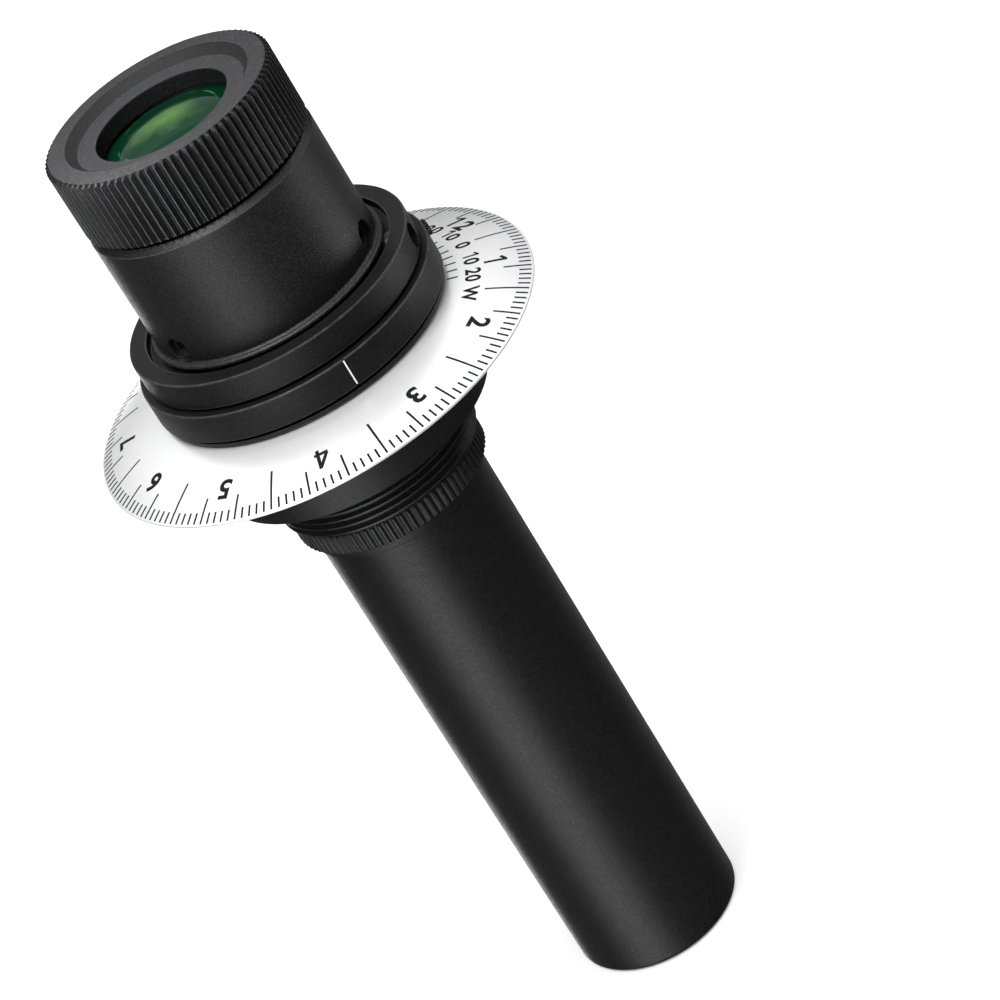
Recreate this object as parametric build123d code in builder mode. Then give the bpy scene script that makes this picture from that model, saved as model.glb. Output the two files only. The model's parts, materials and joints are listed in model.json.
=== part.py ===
"""Polar-axis finder scope with a month dial, as separate pieces.

The origin is the centre of the flange's seat, where the mounting thread starts.
+Z runs along the optical axis towards the eyepiece. Sizes are in millimetres.
"""
import os
from math import cos, radians, sin, sqrt

from build123d import *

# ---------------------------------------------------------------- driving dimensions
RUN = 0.05  # radial running clearance of pieces that turn on each other
CLOSE = 0.02  # radial gap of pieces that are screwed or pushed together
EDGE = 0.25  # small turned edge break

# heights of the outside, from the eyepiece down
EYE_TOP = 49.85
EYE_HEAD_BOTTOM = 40.3
HOUSING_TOP = 39.8
HOUSING_BOTTOM = 22.37
COLLAR_TOP, COLLAR_BOTTOM = 22.65, 18.9
INDEX_TOP, INDEX_BOTTOM = 18.5, 14.5
CLAMP_TOP, CLAMP_BOTTOM = 13.95, 13.35
HUB_TOP = 12.0
THREAD_END = -6.95
LOCK_BOTTOM = -10.2
LOCK_NECK_BOTTOM = -11.75
TUBE_BOTTOM = -88.1

# outside radii
HOUSING_R = 15.2
HOUSING_CHAMFER = 0.7
HOUSING_LIP_R, HOUSING_LIP_TOP = 15.95, 23.0
COLLAR_R = 19.1
INDEX_R = 20.0
CLAMP_R = 19.6
DIAL_R = 30.0
HUB_R = 18.75
THREAD_R, THREAD_PITCH, THREAD_DEPTH = 14.0, 1.0, 0.54
THREAD_LAND, THREAD_CREST, THREAD_TURNS = 0.43, 0.14, 6
LOCK_R, LOCK_NECK_R = 13.4, 12.3
TUBE_R = 11.8

# knurls
EYE_TEETH, EYE_TOOTH_DEPTH = 90, 0.55
LOCK_TEETH, LOCK_TOOTH_DEPTH = 84, 0.35

# neck of the hub, on which the dial and the rings sit
NECK_R = 14.3
NECK_TOP = 21.6
SPIGOT_R = 13.0
SPIGOT_TOP = 22.85
LIGHT_R = 9.6

# eyepiece
SLEEVE_R = 12.95
SLEEVE_BOTTOM = 30.6
HOUSING_BORE_R = 13.0
EYE_BORE_R = 9.5
STEP_R, STEP_BOTTOM, STEP_TOP = 12.4, 28.6, 30.0  # rib inside the housing between reticle and eyepiece
FRICTION_GROOVE_Z, FRICTION_GROOVE_WIDTH, FRICTION_GROOVE_DEPTH = 33.5, 1.6, 1.3
FRICTION_RING_R, FRICTION_RING_SECTION = 12.31, 0.64
EYE_LENS_SEAT = 46.2
EYE_LENS_TOP, EYE_LENS_BOTTOM = 45.85, 44.0
FIELD_LENS_TOP, FIELD_LENS_BOTTOM, FIELD_LENS_DOME_R = 38.4, 37.0, 34.0
LENS_SPACER_TOP, LENS_SPACER_BOTTOM, LENS_SPACER_BORE_R = 43.95, 39.6, 8.4
EYE_RETAINER_TOP, EYE_RETAINER_BOTTOM, EYE_RETAINER_BORE_R = 36.95, 35.0, 7.6
RECESS_R, RECESS_FLOOR_R, RECESS_FLOOR = 12.25, 11.2, 48.75
EYE_MOUTH_R, EYE_MOUTH_Z = 8.8, 48.6
EYE_LENS_DOME_R = 23.0

# reticle
RETICLE_BOTTOM, RETICLE_TOP = 22.9, 26.6
RETICLE_CELL_R = 11.9
RETICLE_GLASS_R = 9.4
RETICLE_SEAT_R, RETICLE_SEAT_Z = 8.2, 24.2
RETICLE_GLASS_TOP = 25.7
RETICLE_CLAMP_TOP, RETICLE_CLAMP_BORE_R = 26.5, 8.0
KEEPER_TOP, KEEPER_BORE_R = 28.5, 9.0
SCREW_Z = 24.75
RETICLE_SCREW_ANGLES = (-28.0, 92.0, 212.0)

# set screws and the knurled lock screw
SET_HOLE_R, SET_SCREW_R = 1.8, 1.75
HEX_ACROSS_FLATS, HEX_DEPTH = 2.0, 1.4
SCREW_SINK = 0.75  # how far the reticle screws stand below the housing's surface
COLLAR_SCREW_ANGLE, COLLAR_SCREW_Z = -17.5, 20.75
COLLAR_HOLE_R, COLLAR_SCREW_R, COLLAR_SCREW_SINK = 1.65, 1.6, 0.9
COLLAR_HEX_ACROSS_FLATS, COLLAR_HEX_DEPTH = 1.8, 1.2
COLLAR_RECESS_R, COLLAR_RECESS_FLOOR = 16.7, 21.55
INDEX_SCREW_ANGLE, INDEX_SCREW_Z = 8.0, 16.5
LOCK_SCREW_HEAD_R, LOCK_SCREW_HEAD_HEIGHT, LOCK_SCREW_TEETH = 1.35, 0.65, 18
LOCK_SCREW_SHANK_R, LOCK_SCREW_HOLE_R = 0.9, 0.95
COIN_SLOT_WIDTH, COIN_SLOT_DEPTH = 0.35, 0.3
INDEX_LINE_ANGLE = -80.5
INDEX_LINE_WIDTH, INDEX_LINE_DEPTH = 0.2, 0.12
HOLE_REACH = 8.0  # drill depth from outside a ring's wall into the open bore

# dial: a shallow dished plate
DIAL_EDGE_Z = 10.08
DIAL_MID_R, DIAL_MID_Z = 25.0, 11.9
DIAL_SEAT_R, DIAL_SEAT_Z = 20.0, 13.2
DIAL_THICK = 0.4
DIAL_BOSS_R, DIAL_BOSS_BOTTOM = 19.2, 12.3  # thicker middle that runs on the washer
WASHER_R, WASHER_THICK = 18.0, 0.25

# tube and objective
TUBE_BORE_R = 10.7
TUBE_TOP = 4.0
TUBE_RIM_ROUND = 0.8
FRONT_LIP_R, FRONT_LIP_HEIGHT = 9.7, 1.2
LENS_R = 10.6
SEAL_Z, SEAL_GROOVE_WIDTH, SEAL_GROOVE_DEPTH = 2.0, 1.4, 0.7
SEAL_RING_R, SEAL_RING_SECTION = 11.49, 0.33
CROWN_BOTTOM, CROWN_TOP = TUBE_BOTTOM + 1.35, TUBE_BOTTOM + 3.5
CROWN_FRONT_DOME_R, CROWN_BACK_DOME_R = 62.0, 48.0
FLINT_BOTTOM, FLINT_TOP, FLINT_DOME_R = TUBE_BOTTOM + 4.6, TUBE_BOTTOM + 6.2, 52.0
OBJECTIVE_SPACER_BORE_R, OBJECTIVE_RETAINER_BORE_R = 9.9, 9.3
BAFFLES = {"lower_baffle": (-56.0, 7.6), "upper_baffle": (-28.0, 6.4)}  # bottom height and opening
BAFFLE_THICK = 1.0


def radial_plane(angle, radius, height):
    """Plane whose normal points outwards at the given azimuth, on the given radius."""
    c, s = cos(radians(angle)), sin(radians(angle))
    return Plane(origin=(radius * c, radius * s, height), x_dir=(-s, c, 0), z_dir=(c, s, 0))


def sag(dome_radius, radius):
    """Height of a spherical cap."""
    return dome_radius - sqrt(dome_radius**2 - radius**2)


def save(piece, label):
    piece.part.label = label
    export_step(piece.part, f"parts/{label}.step")


def turned(label, points):
    """A plain turned piece, written under its own name."""
    with BuildPart() as piece:
        with BuildSketch(Plane.XZ):
            with BuildLine():
                Polyline([(r, z) for r, z in points], close=True)
            make_face()
        revolve(axis=Axis.Z)
    save(piece, label)
    return piece


def tooth_points(teeth, tip_radius, depth, tip_share):
    """Points of a ring of straight V teeth; tip_share is the flat part of each tooth's pitch."""
    root = tip_radius - depth
    step = 360.0 / teeth
    points = []
    for k in range(teeth):
        middle = k * step
        for offset, radius in ((-tip_share / 2, tip_radius), (tip_share / 2, tip_radius), (0.5, root)):
            a = radians(middle + offset * step)
            points.append((radius * cos(a), radius * sin(a)))
    return points


def lens(label, radius, bottom, top, bottom_dome, top_dome):
    """A round lens. A dome radius above zero bulges outwards, below zero it is hollow, 0 is flat."""
    def face_z(edge_z, dome, outward):
        return edge_z if dome == 0 else edge_z + outward * (1 if dome > 0 else -1) * sag(abs(dome), radius)

    with BuildPart() as piece:
        with BuildSketch(Plane.XZ):
            with BuildLine():
                low, high = face_z(bottom, bottom_dome, -1), face_z(top, top_dome, 1)
                Line((0, low), (0, high))
                if top_dome == 0:
                    Line((0, top), (radius, top))
                else:
                    half = radius / 2
                    rise = sag(abs(top_dome), radius) - sag(abs(top_dome), half)
                    rise = rise if top_dome > 0 else -rise
                    ThreePointArc((0, high), (half, top + rise), (radius, top))
                Line((radius, top), (radius, bottom))
                if bottom_dome == 0:
                    Line((radius, bottom), (0, bottom))
                else:
                    half = radius / 2
                    drop = sag(abs(bottom_dome), radius) - sag(abs(bottom_dome), half)
                    drop = drop if bottom_dome > 0 else -drop
                    ThreePointArc((radius, bottom), (half, bottom - drop), (0, low))
            make_face()
        revolve(axis=Axis.Z)
    save(piece, label)


def ring(label, outer, inner, bottom, top):
    """A plain ring with broken outer edges."""
    break_ = min(EDGE, (top - bottom) / 4)
    turned(label, [
        (inner, bottom), (outer - break_, bottom), (outer, bottom + break_),
        (outer, top - break_), (outer - break_, top), (inner, top),
    ])


def o_ring(label, centre_radius, centre_z, section_radius):
    """A rubber ring of round section."""
    with BuildPart() as piece:
        with BuildSketch(Plane.XZ):
            with Locations((centre_radius, centre_z)):
                Circle(section_radius)
        revolve(axis=Axis.Z)
    save(piece, label)


def set_screw(label, angle, outer_radius, inner_radius, height, radius, across_flats, hex_depth):
    """Set screw with a hexagon socket that reaches from outer_radius to inner_radius."""
    with BuildPart() as piece:
        with BuildSketch(radial_plane(angle, outer_radius, height)):
            Circle(radius)
        extrude(amount=inner_radius - outer_radius)
        chamfer(piece.edges().filter_by(GeomType.CIRCLE), EDGE)
        with BuildSketch(radial_plane(angle, outer_radius, height)):
            RegularPolygon(across_flats / 2, 6, major_radius=False)
        extrude(amount=-hex_depth, mode=Mode.SUBTRACT)
    save(piece, label)


def drill(angle, radius, height, hole_radius, depth):
    """Cut a radial hole inwards from the given radius, in the part being built."""
    with Locations(radial_plane(angle, radius, height)):
        Cylinder(hole_radius, depth, align=(Align.CENTER, Align.CENTER, Align.MAX), mode=Mode.SUBTRACT)


os.makedirs("parts", exist_ok=True)

# ---------------------------------------------------------------- hub with mounting thread and neck
TUBE_THREAD_BORE_R = TUBE_R + RUN
TUBE_BORE_TOP = 5.0
THREAD_ROOT_R = THREAD_R - THREAD_DEPTH
thread_outline = [(THREAD_R, 0.0), (THREAD_R, -THREAD_LAND)]
for turn in range(THREAD_TURNS):
    z = -THREAD_LAND - turn * THREAD_PITCH
    thread_outline += [
        (THREAD_ROOT_R, z - (THREAD_PITCH - THREAD_CREST) / 2),
        (THREAD_R, z - THREAD_PITCH + THREAD_CREST),
        (THREAD_R, z - THREAD_PITCH),
    ]
turned("hub", [
    (LIGHT_R, TUBE_BORE_TOP), (LIGHT_R, SPIGOT_TOP), (SPIGOT_R - EDGE, SPIGOT_TOP), (SPIGOT_R, SPIGOT_TOP - EDGE),
    (SPIGOT_R, NECK_TOP), (NECK_R, NECK_TOP), (NECK_R, HUB_TOP),
    (HUB_R - EDGE, HUB_TOP), (HUB_R, HUB_TOP - EDGE), (HUB_R, EDGE), (HUB_R - EDGE, 0.0),
    *thread_outline,
    (THREAD_ROOT_R, THREAD_END), (TUBE_THREAD_BORE_R, THREAD_END), (TUBE_THREAD_BORE_R, TUBE_BORE_TOP),
])

# ---------------------------------------------------------------- objective tube
with BuildPart() as tube:
    with BuildSketch(Plane.XZ):
        with BuildLine():
            Polyline([
                (TUBE_BORE_R, TUBE_TOP), (TUBE_R, TUBE_TOP), (TUBE_R, TUBE_BOTTOM),
                (FRONT_LIP_R, TUBE_BOTTOM), (FRONT_LIP_R, TUBE_BOTTOM + FRONT_LIP_HEIGHT),
                (TUBE_BORE_R, TUBE_BOTTOM + FRONT_LIP_HEIGHT),
            ], close=True)
        make_face()
    revolve(axis=Axis.Z)
    bottom_edges = tube.edges().filter_by(GeomType.CIRCLE).group_by(Axis.Z)[0].sort_by(SortBy.RADIUS)
    fillet(bottom_edges[-1], TUBE_RIM_ROUND)
    # groove for the seal ring, cut from outside
    with BuildSketch(Plane.XZ):
        with Locations((TUBE_R, SEAL_Z)):
            Rectangle(2 * SEAL_GROOVE_DEPTH, SEAL_GROOVE_WIDTH)
    revolve(axis=Axis.Z, mode=Mode.SUBTRACT)
save(tube, "objective_tube")


o_ring("tube_seal_ring", SEAL_RING_R, SEAL_Z, SEAL_RING_SECTION)

# ---------------------------------------------------------------- objective and baffles, inside the tube
INSERT_R = TUBE_BORE_R - CLOSE
CROWN_RISE = 0.15  # how far the crown's dome stands above its edge inside the spacer
lens("objective_crown_lens", LENS_R, CROWN_BOTTOM, CROWN_TOP, CROWN_FRONT_DOME_R, CROWN_BACK_DOME_R)
ring("objective_spacer", INSERT_R, OBJECTIVE_SPACER_BORE_R, CROWN_TOP + CROWN_RISE + RUN, FLINT_BOTTOM - RUN)
lens("objective_flint_lens", LENS_R, FLINT_BOTTOM, FLINT_TOP, -FLINT_DOME_R, 0)
ring("objective_retaining_ring", INSERT_R, OBJECTIVE_RETAINER_BORE_R, FLINT_TOP + RUN, FLINT_TOP + 2.0)
for label, (height, opening) in BAFFLES.items():
    ring(label, INSERT_R, opening, height, height + BAFFLE_THICK)

# ---------------------------------------------------------------- knurled lock ring of the tube
with BuildPart() as lock_ring:
    with BuildSketch(Plane.XY.offset(LOCK_BOTTOM)):
        with BuildLine():
            Polyline(tooth_points(LOCK_TEETH, LOCK_R, LOCK_TOOTH_DEPTH, 0.42), close=True)
        make_face()
        Circle(TUBE_R + RUN, mode=Mode.SUBTRACT)
    extrude(amount=THREAD_END - RUN - LOCK_BOTTOM)
    with BuildSketch(Plane.XZ):
        with BuildLine():
            Polyline([
                (TUBE_R + RUN, LOCK_NECK_BOTTOM), (LOCK_NECK_R - EDGE, LOCK_NECK_BOTTOM),
                (LOCK_NECK_R, LOCK_NECK_BOTTOM + EDGE), (LOCK_NECK_R, LOCK_BOTTOM), (TUBE_R + RUN, LOCK_BOTTOM),
            ], close=True)
        make_face()
    revolve(axis=Axis.Z)
    # break both knurl ends with a cone
    for end, way in ((THREAD_END - RUN, 1), (LOCK_BOTTOM, -1)):
        with BuildSketch(Plane.XZ):
            with BuildLine():
                Polyline([(LOCK_R - EDGE, end), (LOCK_R + 1, end), (LOCK_R + 1, end - way * (EDGE + 1))], close=True)
            make_face()
        revolve(axis=Axis.Z, mode=Mode.SUBTRACT)
save(lock_ring, "tube_lock_ring")

# ---------------------------------------------------------------- dial, its washer and its clamp ring
DIAL_BORE_R = NECK_R + RUN
RIM_BREAK = 0.1
with BuildPart() as dial:
    with BuildSketch(Plane.XZ):
        with BuildLine():
            top_outer = (DIAL_R - RIM_BREAK, DIAL_EDGE_Z)
            top_inner = (DIAL_SEAT_R, DIAL_SEAT_Z - RIM_BREAK)
            low_outer = (DIAL_R - 2 * RIM_BREAK, DIAL_EDGE_Z - DIAL_THICK)
            low_inner = (DIAL_SEAT_R, DIAL_SEAT_Z - RIM_BREAK - DIAL_THICK)
            Polyline([(DIAL_BORE_R, DIAL_SEAT_Z), (DIAL_SEAT_R - 6 * RIM_BREAK, DIAL_SEAT_Z), top_inner])
            ThreePointArc(top_inner, (DIAL_MID_R, DIAL_MID_Z), top_outer)
            Polyline([
                top_outer, (DIAL_R, DIAL_EDGE_Z - RIM_BREAK), (DIAL_R, DIAL_EDGE_Z - DIAL_THICK / 2), low_outer,
            ])
            ThreePointArc(low_outer, (DIAL_MID_R, DIAL_MID_Z - DIAL_THICK), low_inner)
            Polyline([
                low_inner, (DIAL_BOSS_R, DIAL_BOSS_BOTTOM), (DIAL_BORE_R, DIAL_BOSS_BOTTOM),
                (DIAL_BORE_R, DIAL_SEAT_Z),
            ])
        make_face()
    revolve(axis=Axis.Z)
save(dial, "date_dial")

ring("dial_friction_washer", WASHER_R, NECK_R + CLOSE, HUB_TOP, HUB_TOP + WASHER_THICK)
ring("dial_clamp_ring", CLAMP_R, NECK_R + CLOSE, CLAMP_BOTTOM, CLAMP_TOP)

# ---------------------------------------------------------------- index ring, its line and its lock screw
with BuildPart() as index_ring:
    with BuildSketch(Plane.XZ):
        with BuildLine():
            Polyline([
                (NECK_R + RUN, INDEX_BOTTOM), (INDEX_R - EDGE, INDEX_BOTTOM), (INDEX_R, INDEX_BOTTOM + EDGE),
                (INDEX_R, INDEX_TOP - EDGE), (INDEX_R - EDGE, INDEX_TOP), (NECK_R + RUN, INDEX_TOP),
            ], close=True)
        make_face()
    revolve(axis=Axis.Z)
    drill(INDEX_SCREW_ANGLE, INDEX_R + 1, INDEX_SCREW_Z, LOCK_SCREW_HOLE_R, HOLE_REACH)
    with BuildSketch(radial_plane(INDEX_LINE_ANGLE, INDEX_R + 1, (INDEX_TOP + INDEX_BOTTOM) / 2)):
        Rectangle(INDEX_LINE_WIDTH, INDEX_TOP - INDEX_BOTTOM + 1)
    extrude(amount=-1 - INDEX_LINE_DEPTH, mode=Mode.SUBTRACT)
save(index_ring, "index_ring")

FILL_GAP = 0.01  # the fill stays this far inside its slot
with BuildPart() as index_line:
    with BuildSketch(radial_plane(INDEX_LINE_ANGLE, INDEX_R - FILL_GAP, (INDEX_TOP + INDEX_BOTTOM) / 2)):
        Rectangle(INDEX_LINE_WIDTH - 2 * FILL_GAP, INDEX_TOP - INDEX_BOTTOM - 2 * EDGE)
    extrude(amount=-INDEX_LINE_DEPTH + 3 * FILL_GAP)
save(index_line, "index_line")

HEAD_SEAT_R = INDEX_R + 0.1
with BuildPart() as index_lock_screw:
    with BuildSketch(radial_plane(INDEX_SCREW_ANGLE, HEAD_SEAT_R, INDEX_SCREW_Z)):
        with BuildLine():
            Polyline(tooth_points(LOCK_SCREW_TEETH, LOCK_SCREW_HEAD_R, 0.2, 0.4), close=True)
        make_face()
    extrude(amount=LOCK_SCREW_HEAD_HEIGHT)
    with BuildSketch(radial_plane(INDEX_SCREW_ANGLE, HEAD_SEAT_R, INDEX_SCREW_Z)):
        Circle(LOCK_SCREW_SHANK_R)
    extrude(amount=NECK_R + 2 * RUN - HEAD_SEAT_R)
    with BuildSketch(radial_plane(INDEX_SCREW_ANGLE, HEAD_SEAT_R + LOCK_SCREW_HEAD_HEIGHT, INDEX_SCREW_Z)):
        Rectangle(COIN_SLOT_WIDTH, 3 * LOCK_SCREW_HEAD_R)
    extrude(amount=-COIN_SLOT_DEPTH, mode=Mode.SUBTRACT)
save(index_lock_screw, "index_lock_screw")

# ---------------------------------------------------------------- retaining collar above the index ring
with BuildPart() as collar:
    with BuildSketch(Plane.XZ):
        with BuildLine():
            Polyline([
                (NECK_R + CLOSE, COLLAR_BOTTOM), (COLLAR_R - EDGE, COLLAR_BOTTOM), (COLLAR_R, COLLAR_BOTTOM + EDGE),
                (COLLAR_R, COLLAR_TOP - EDGE), (COLLAR_R - EDGE, COLLAR_TOP), (COLLAR_RECESS_R, COLLAR_TOP),
                (COLLAR_RECESS_R, COLLAR_RECESS_FLOOR), (NECK_R + CLOSE, COLLAR_RECESS_FLOOR),
            ], close=True)
        make_face()
    revolve(axis=Axis.Z)
    drill(COLLAR_SCREW_ANGLE, COLLAR_R + 1, COLLAR_SCREW_Z, COLLAR_HOLE_R, HOLE_REACH)
save(collar, "retaining_collar")
set_screw(
    "collar_set_screw", COLLAR_SCREW_ANGLE, COLLAR_R - COLLAR_SCREW_SINK, NECK_R + RUN, COLLAR_SCREW_Z,
    COLLAR_SCREW_R, COLLAR_HEX_ACROSS_FLATS, COLLAR_HEX_DEPTH,
)

# ---------------------------------------------------------------- reticle housing
BORE_R = HOUSING_BORE_R + CLOSE
SKIRT_R = NECK_R - CLOSE  # the skirt stands on the neck's shoulder, clear of the collar's screw
LIP_BREAK = 0.2
with BuildPart() as housing:
    with BuildSketch(Plane.XZ):
        with BuildLine():
            Polyline([
                (BORE_R, NECK_TOP + CLOSE), (SKIRT_R, NECK_TOP + CLOSE), (SKIRT_R, HOUSING_BOTTOM),
                (HOUSING_LIP_R - LIP_BREAK, HOUSING_BOTTOM), (HOUSING_LIP_R, HOUSING_BOTTOM + LIP_BREAK),
                (HOUSING_LIP_R, HOUSING_LIP_TOP - LIP_BREAK), (HOUSING_LIP_R - LIP_BREAK, HOUSING_LIP_TOP),
                (HOUSING_R + LIP_BREAK, HOUSING_LIP_TOP), (HOUSING_R, HOUSING_LIP_TOP + LIP_BREAK),
                (HOUSING_R, HOUSING_TOP - HOUSING_CHAMFER), (HOUSING_R - HOUSING_CHAMFER, HOUSING_TOP),
                (HOUSING_BORE_R, HOUSING_TOP), (HOUSING_BORE_R, STEP_TOP), (STEP_R, STEP_TOP), (STEP_R, STEP_BOTTOM),
                (BORE_R, STEP_BOTTOM),
            ], close=True)
        make_face()
    revolve(axis=Axis.Z)
    for angle in RETICLE_SCREW_ANGLES:
        drill(angle, HOUSING_R + 1, SCREW_Z, SET_HOLE_R, HOLE_REACH)
save(housing, "reticle_housing")

for number, angle in enumerate(RETICLE_SCREW_ANGLES, start=1):
    set_screw(
        f"reticle_screw_{number}", angle, HOUSING_R - SCREW_SINK, RETICLE_CELL_R + RUN, SCREW_Z,
        SET_SCREW_R, HEX_ACROSS_FLATS, HEX_DEPTH,
    )

# ---------------------------------------------------------------- reticle cell, glass and rings
GLASS_BORE_R = RETICLE_GLASS_R + RUN
turned("reticle_cell", [
    (RETICLE_SEAT_R, RETICLE_BOTTOM), (RETICLE_CELL_R - EDGE, RETICLE_BOTTOM),
    (RETICLE_CELL_R, RETICLE_BOTTOM + EDGE), (RETICLE_CELL_R, RETICLE_TOP - EDGE),
    (RETICLE_CELL_R - EDGE, RETICLE_TOP), (GLASS_BORE_R, RETICLE_TOP), (GLASS_BORE_R, RETICLE_SEAT_Z),
    (RETICLE_SEAT_R, RETICLE_SEAT_Z),
])
lens("reticle_glass", RETICLE_GLASS_R, RETICLE_SEAT_Z + CLOSE, RETICLE_GLASS_TOP, 0, 0)
ring("reticle_clamp_ring", RETICLE_GLASS_R, RETICLE_CLAMP_BORE_R, RETICLE_GLASS_TOP + CLOSE, RETICLE_CLAMP_TOP)
ring("reticle_keeper_ring", HOUSING_BORE_R, KEEPER_BORE_R, RETICLE_TOP + RUN, KEEPER_TOP)

# ---------------------------------------------------------------- eyepiece
MOUTH_BREAK = 0.15
with BuildPart() as eyepiece:
    with BuildSketch(Plane.XY.offset(EYE_HEAD_BOTTOM)):
        with BuildLine():
            Polyline(tooth_points(EYE_TEETH, HOUSING_R, EYE_TOOTH_DEPTH, 0.12), close=True)
        make_face()
        Circle(EYE_BORE_R, mode=Mode.SUBTRACT)
    extrude(amount=EYE_TOP - EYE_HEAD_BOTTOM)
    # sleeve that screws into the housing
    with BuildSketch(Plane.XZ):
        with BuildLine():
            Polyline([
                (EYE_BORE_R, SLEEVE_BOTTOM), (SLEEVE_R - EDGE, SLEEVE_BOTTOM), (SLEEVE_R, SLEEVE_BOTTOM + EDGE),
                (SLEEVE_R, EYE_HEAD_BOTTOM), (EYE_BORE_R, EYE_HEAD_BOTTOM),
            ], close=True)
        make_face()
    revolve(axis=Axis.Z)
    # seat lip above the eye lens
    with BuildSketch(Plane.XZ):
        with BuildLine():
            Polyline([
                (EYE_MOUTH_R, EYE_LENS_SEAT + EDGE), (EYE_BORE_R, EYE_LENS_SEAT + EDGE), (EYE_BORE_R, EYE_TOP),
                (EYE_MOUTH_R, EYE_TOP),
            ], close=True)
        make_face()
    revolve(axis=Axis.Z)
    # stepped recess in the face
    with BuildSketch(Plane.XZ):
        with BuildLine():
            Polyline([
                (0, EYE_TOP + 1), (RECESS_R + 0.9, EYE_TOP + 1), (RECESS_R, EYE_TOP), (RECESS_FLOOR_R, RECESS_FLOOR),
                (EYE_MOUTH_R + MOUTH_BREAK, EYE_MOUTH_Z), (EYE_MOUTH_R, EYE_MOUTH_Z - MOUTH_BREAK),
                (0, EYE_MOUTH_Z - MOUTH_BREAK),
            ], close=True)
        make_face()
    revolve(axis=Axis.Z, mode=Mode.SUBTRACT)
    # cones that break both ends of the knurl
    for end, way, reach in ((EYE_TOP, 1, EDGE / 2), (EYE_HEAD_BOTTOM, -1, EDGE)):
        with BuildSketch(Plane.XZ):
            with BuildLine():
                Polyline([
                    (HOUSING_R - reach, end), (HOUSING_R + 1, end), (HOUSING_R + 1, end - way * (reach + 1)),
                ], close=True)
            make_face()
        revolve(axis=Axis.Z, mode=Mode.SUBTRACT)
    # groove for the friction ring
    with BuildSketch(Plane.XZ):
        with Locations((SLEEVE_R, FRICTION_GROOVE_Z)):
            Rectangle(2 * FRICTION_GROOVE_DEPTH, FRICTION_GROOVE_WIDTH)
    revolve(axis=Axis.Z, mode=Mode.SUBTRACT)
save(eyepiece, "eyepiece_ring")

EYE_GLASS_R = EYE_BORE_R - RUN
o_ring("eyepiece_friction_ring", FRICTION_RING_R, FRICTION_GROOVE_Z, FRICTION_RING_SECTION)
lens("eye_lens", EYE_GLASS_R, EYE_LENS_BOTTOM, EYE_LENS_TOP, 0, EYE_LENS_DOME_R)
ring("eyepiece_spacer", EYE_BORE_R - CLOSE, LENS_SPACER_BORE_R, LENS_SPACER_BOTTOM, LENS_SPACER_TOP)
lens("field_lens", EYE_GLASS_R, FIELD_LENS_BOTTOM, FIELD_LENS_TOP, 0, FIELD_LENS_DOME_R)
ring("eyepiece_retaining_ring", EYE_BORE_R - CLOSE, EYE_RETAINER_BORE_R, EYE_RETAINER_BOTTOM, EYE_RETAINER_TOP)
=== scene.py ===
"""Polar-axis finder scope: the finished look of every piece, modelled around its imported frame."""

import json
from math import atan2, cos, pi, radians, sin, sqrt, tau

import bmesh
import bpy
from bpy.props import FloatProperty, FloatVectorProperty, IntProperty, PointerProperty
from mathutils import Matrix, Vector

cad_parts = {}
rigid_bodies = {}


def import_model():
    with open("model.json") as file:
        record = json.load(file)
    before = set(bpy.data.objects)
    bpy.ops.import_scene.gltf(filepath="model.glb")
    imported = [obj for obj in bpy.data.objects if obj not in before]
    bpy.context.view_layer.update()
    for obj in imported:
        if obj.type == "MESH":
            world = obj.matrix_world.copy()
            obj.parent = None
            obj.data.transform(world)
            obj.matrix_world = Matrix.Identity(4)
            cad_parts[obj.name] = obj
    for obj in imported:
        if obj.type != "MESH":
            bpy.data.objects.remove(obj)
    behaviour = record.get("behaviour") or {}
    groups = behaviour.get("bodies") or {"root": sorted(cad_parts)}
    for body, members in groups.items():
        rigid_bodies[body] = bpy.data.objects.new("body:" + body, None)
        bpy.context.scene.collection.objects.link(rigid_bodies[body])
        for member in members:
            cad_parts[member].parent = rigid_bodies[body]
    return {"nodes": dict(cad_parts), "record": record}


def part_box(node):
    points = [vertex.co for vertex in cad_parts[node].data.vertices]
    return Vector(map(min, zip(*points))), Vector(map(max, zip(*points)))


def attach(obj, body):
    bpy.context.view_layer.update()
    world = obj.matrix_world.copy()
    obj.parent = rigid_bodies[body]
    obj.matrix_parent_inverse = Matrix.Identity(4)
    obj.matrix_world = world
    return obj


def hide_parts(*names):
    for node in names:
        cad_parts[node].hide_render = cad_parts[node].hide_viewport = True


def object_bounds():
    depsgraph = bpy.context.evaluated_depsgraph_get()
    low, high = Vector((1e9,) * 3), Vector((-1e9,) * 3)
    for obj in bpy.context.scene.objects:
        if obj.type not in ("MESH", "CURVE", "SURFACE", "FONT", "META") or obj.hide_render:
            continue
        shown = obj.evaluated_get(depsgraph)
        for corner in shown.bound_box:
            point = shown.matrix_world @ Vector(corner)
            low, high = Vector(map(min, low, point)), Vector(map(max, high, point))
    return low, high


bl_info = {
    "name": "Polar Finder Scope",
    "version": (1, 0, 0),
    "blender": (4, 5, 0),
    "location": "View3D > Sidebar > Scope",
    "description": "Models a polar-axis finder scope around its frame and sets its studio",
    "category": "Object",
}

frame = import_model()
CAD_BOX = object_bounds()
MM = 0.001
SLOTS = {material["slot"]: material for material in frame["record"]["materials"]}


def span(node):
    """Outer radius, lowest and highest point of a turned node."""
    low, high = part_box(node)
    return high.x, low.z, high.z


def length_property(label, text, millimetres):
    return FloatProperty(name=label, description=text, default=millimetres * MM, unit="LENGTH", precision=5)


def angle_property(label, text, value):
    return FloatProperty(name=label, description=text, default=radians(value), unit="ROTATION")


def amount_property(label, text, value, highest=1.0):
    return FloatProperty(name=label, description=text, default=value, min=0.0, max=highest)


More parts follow.
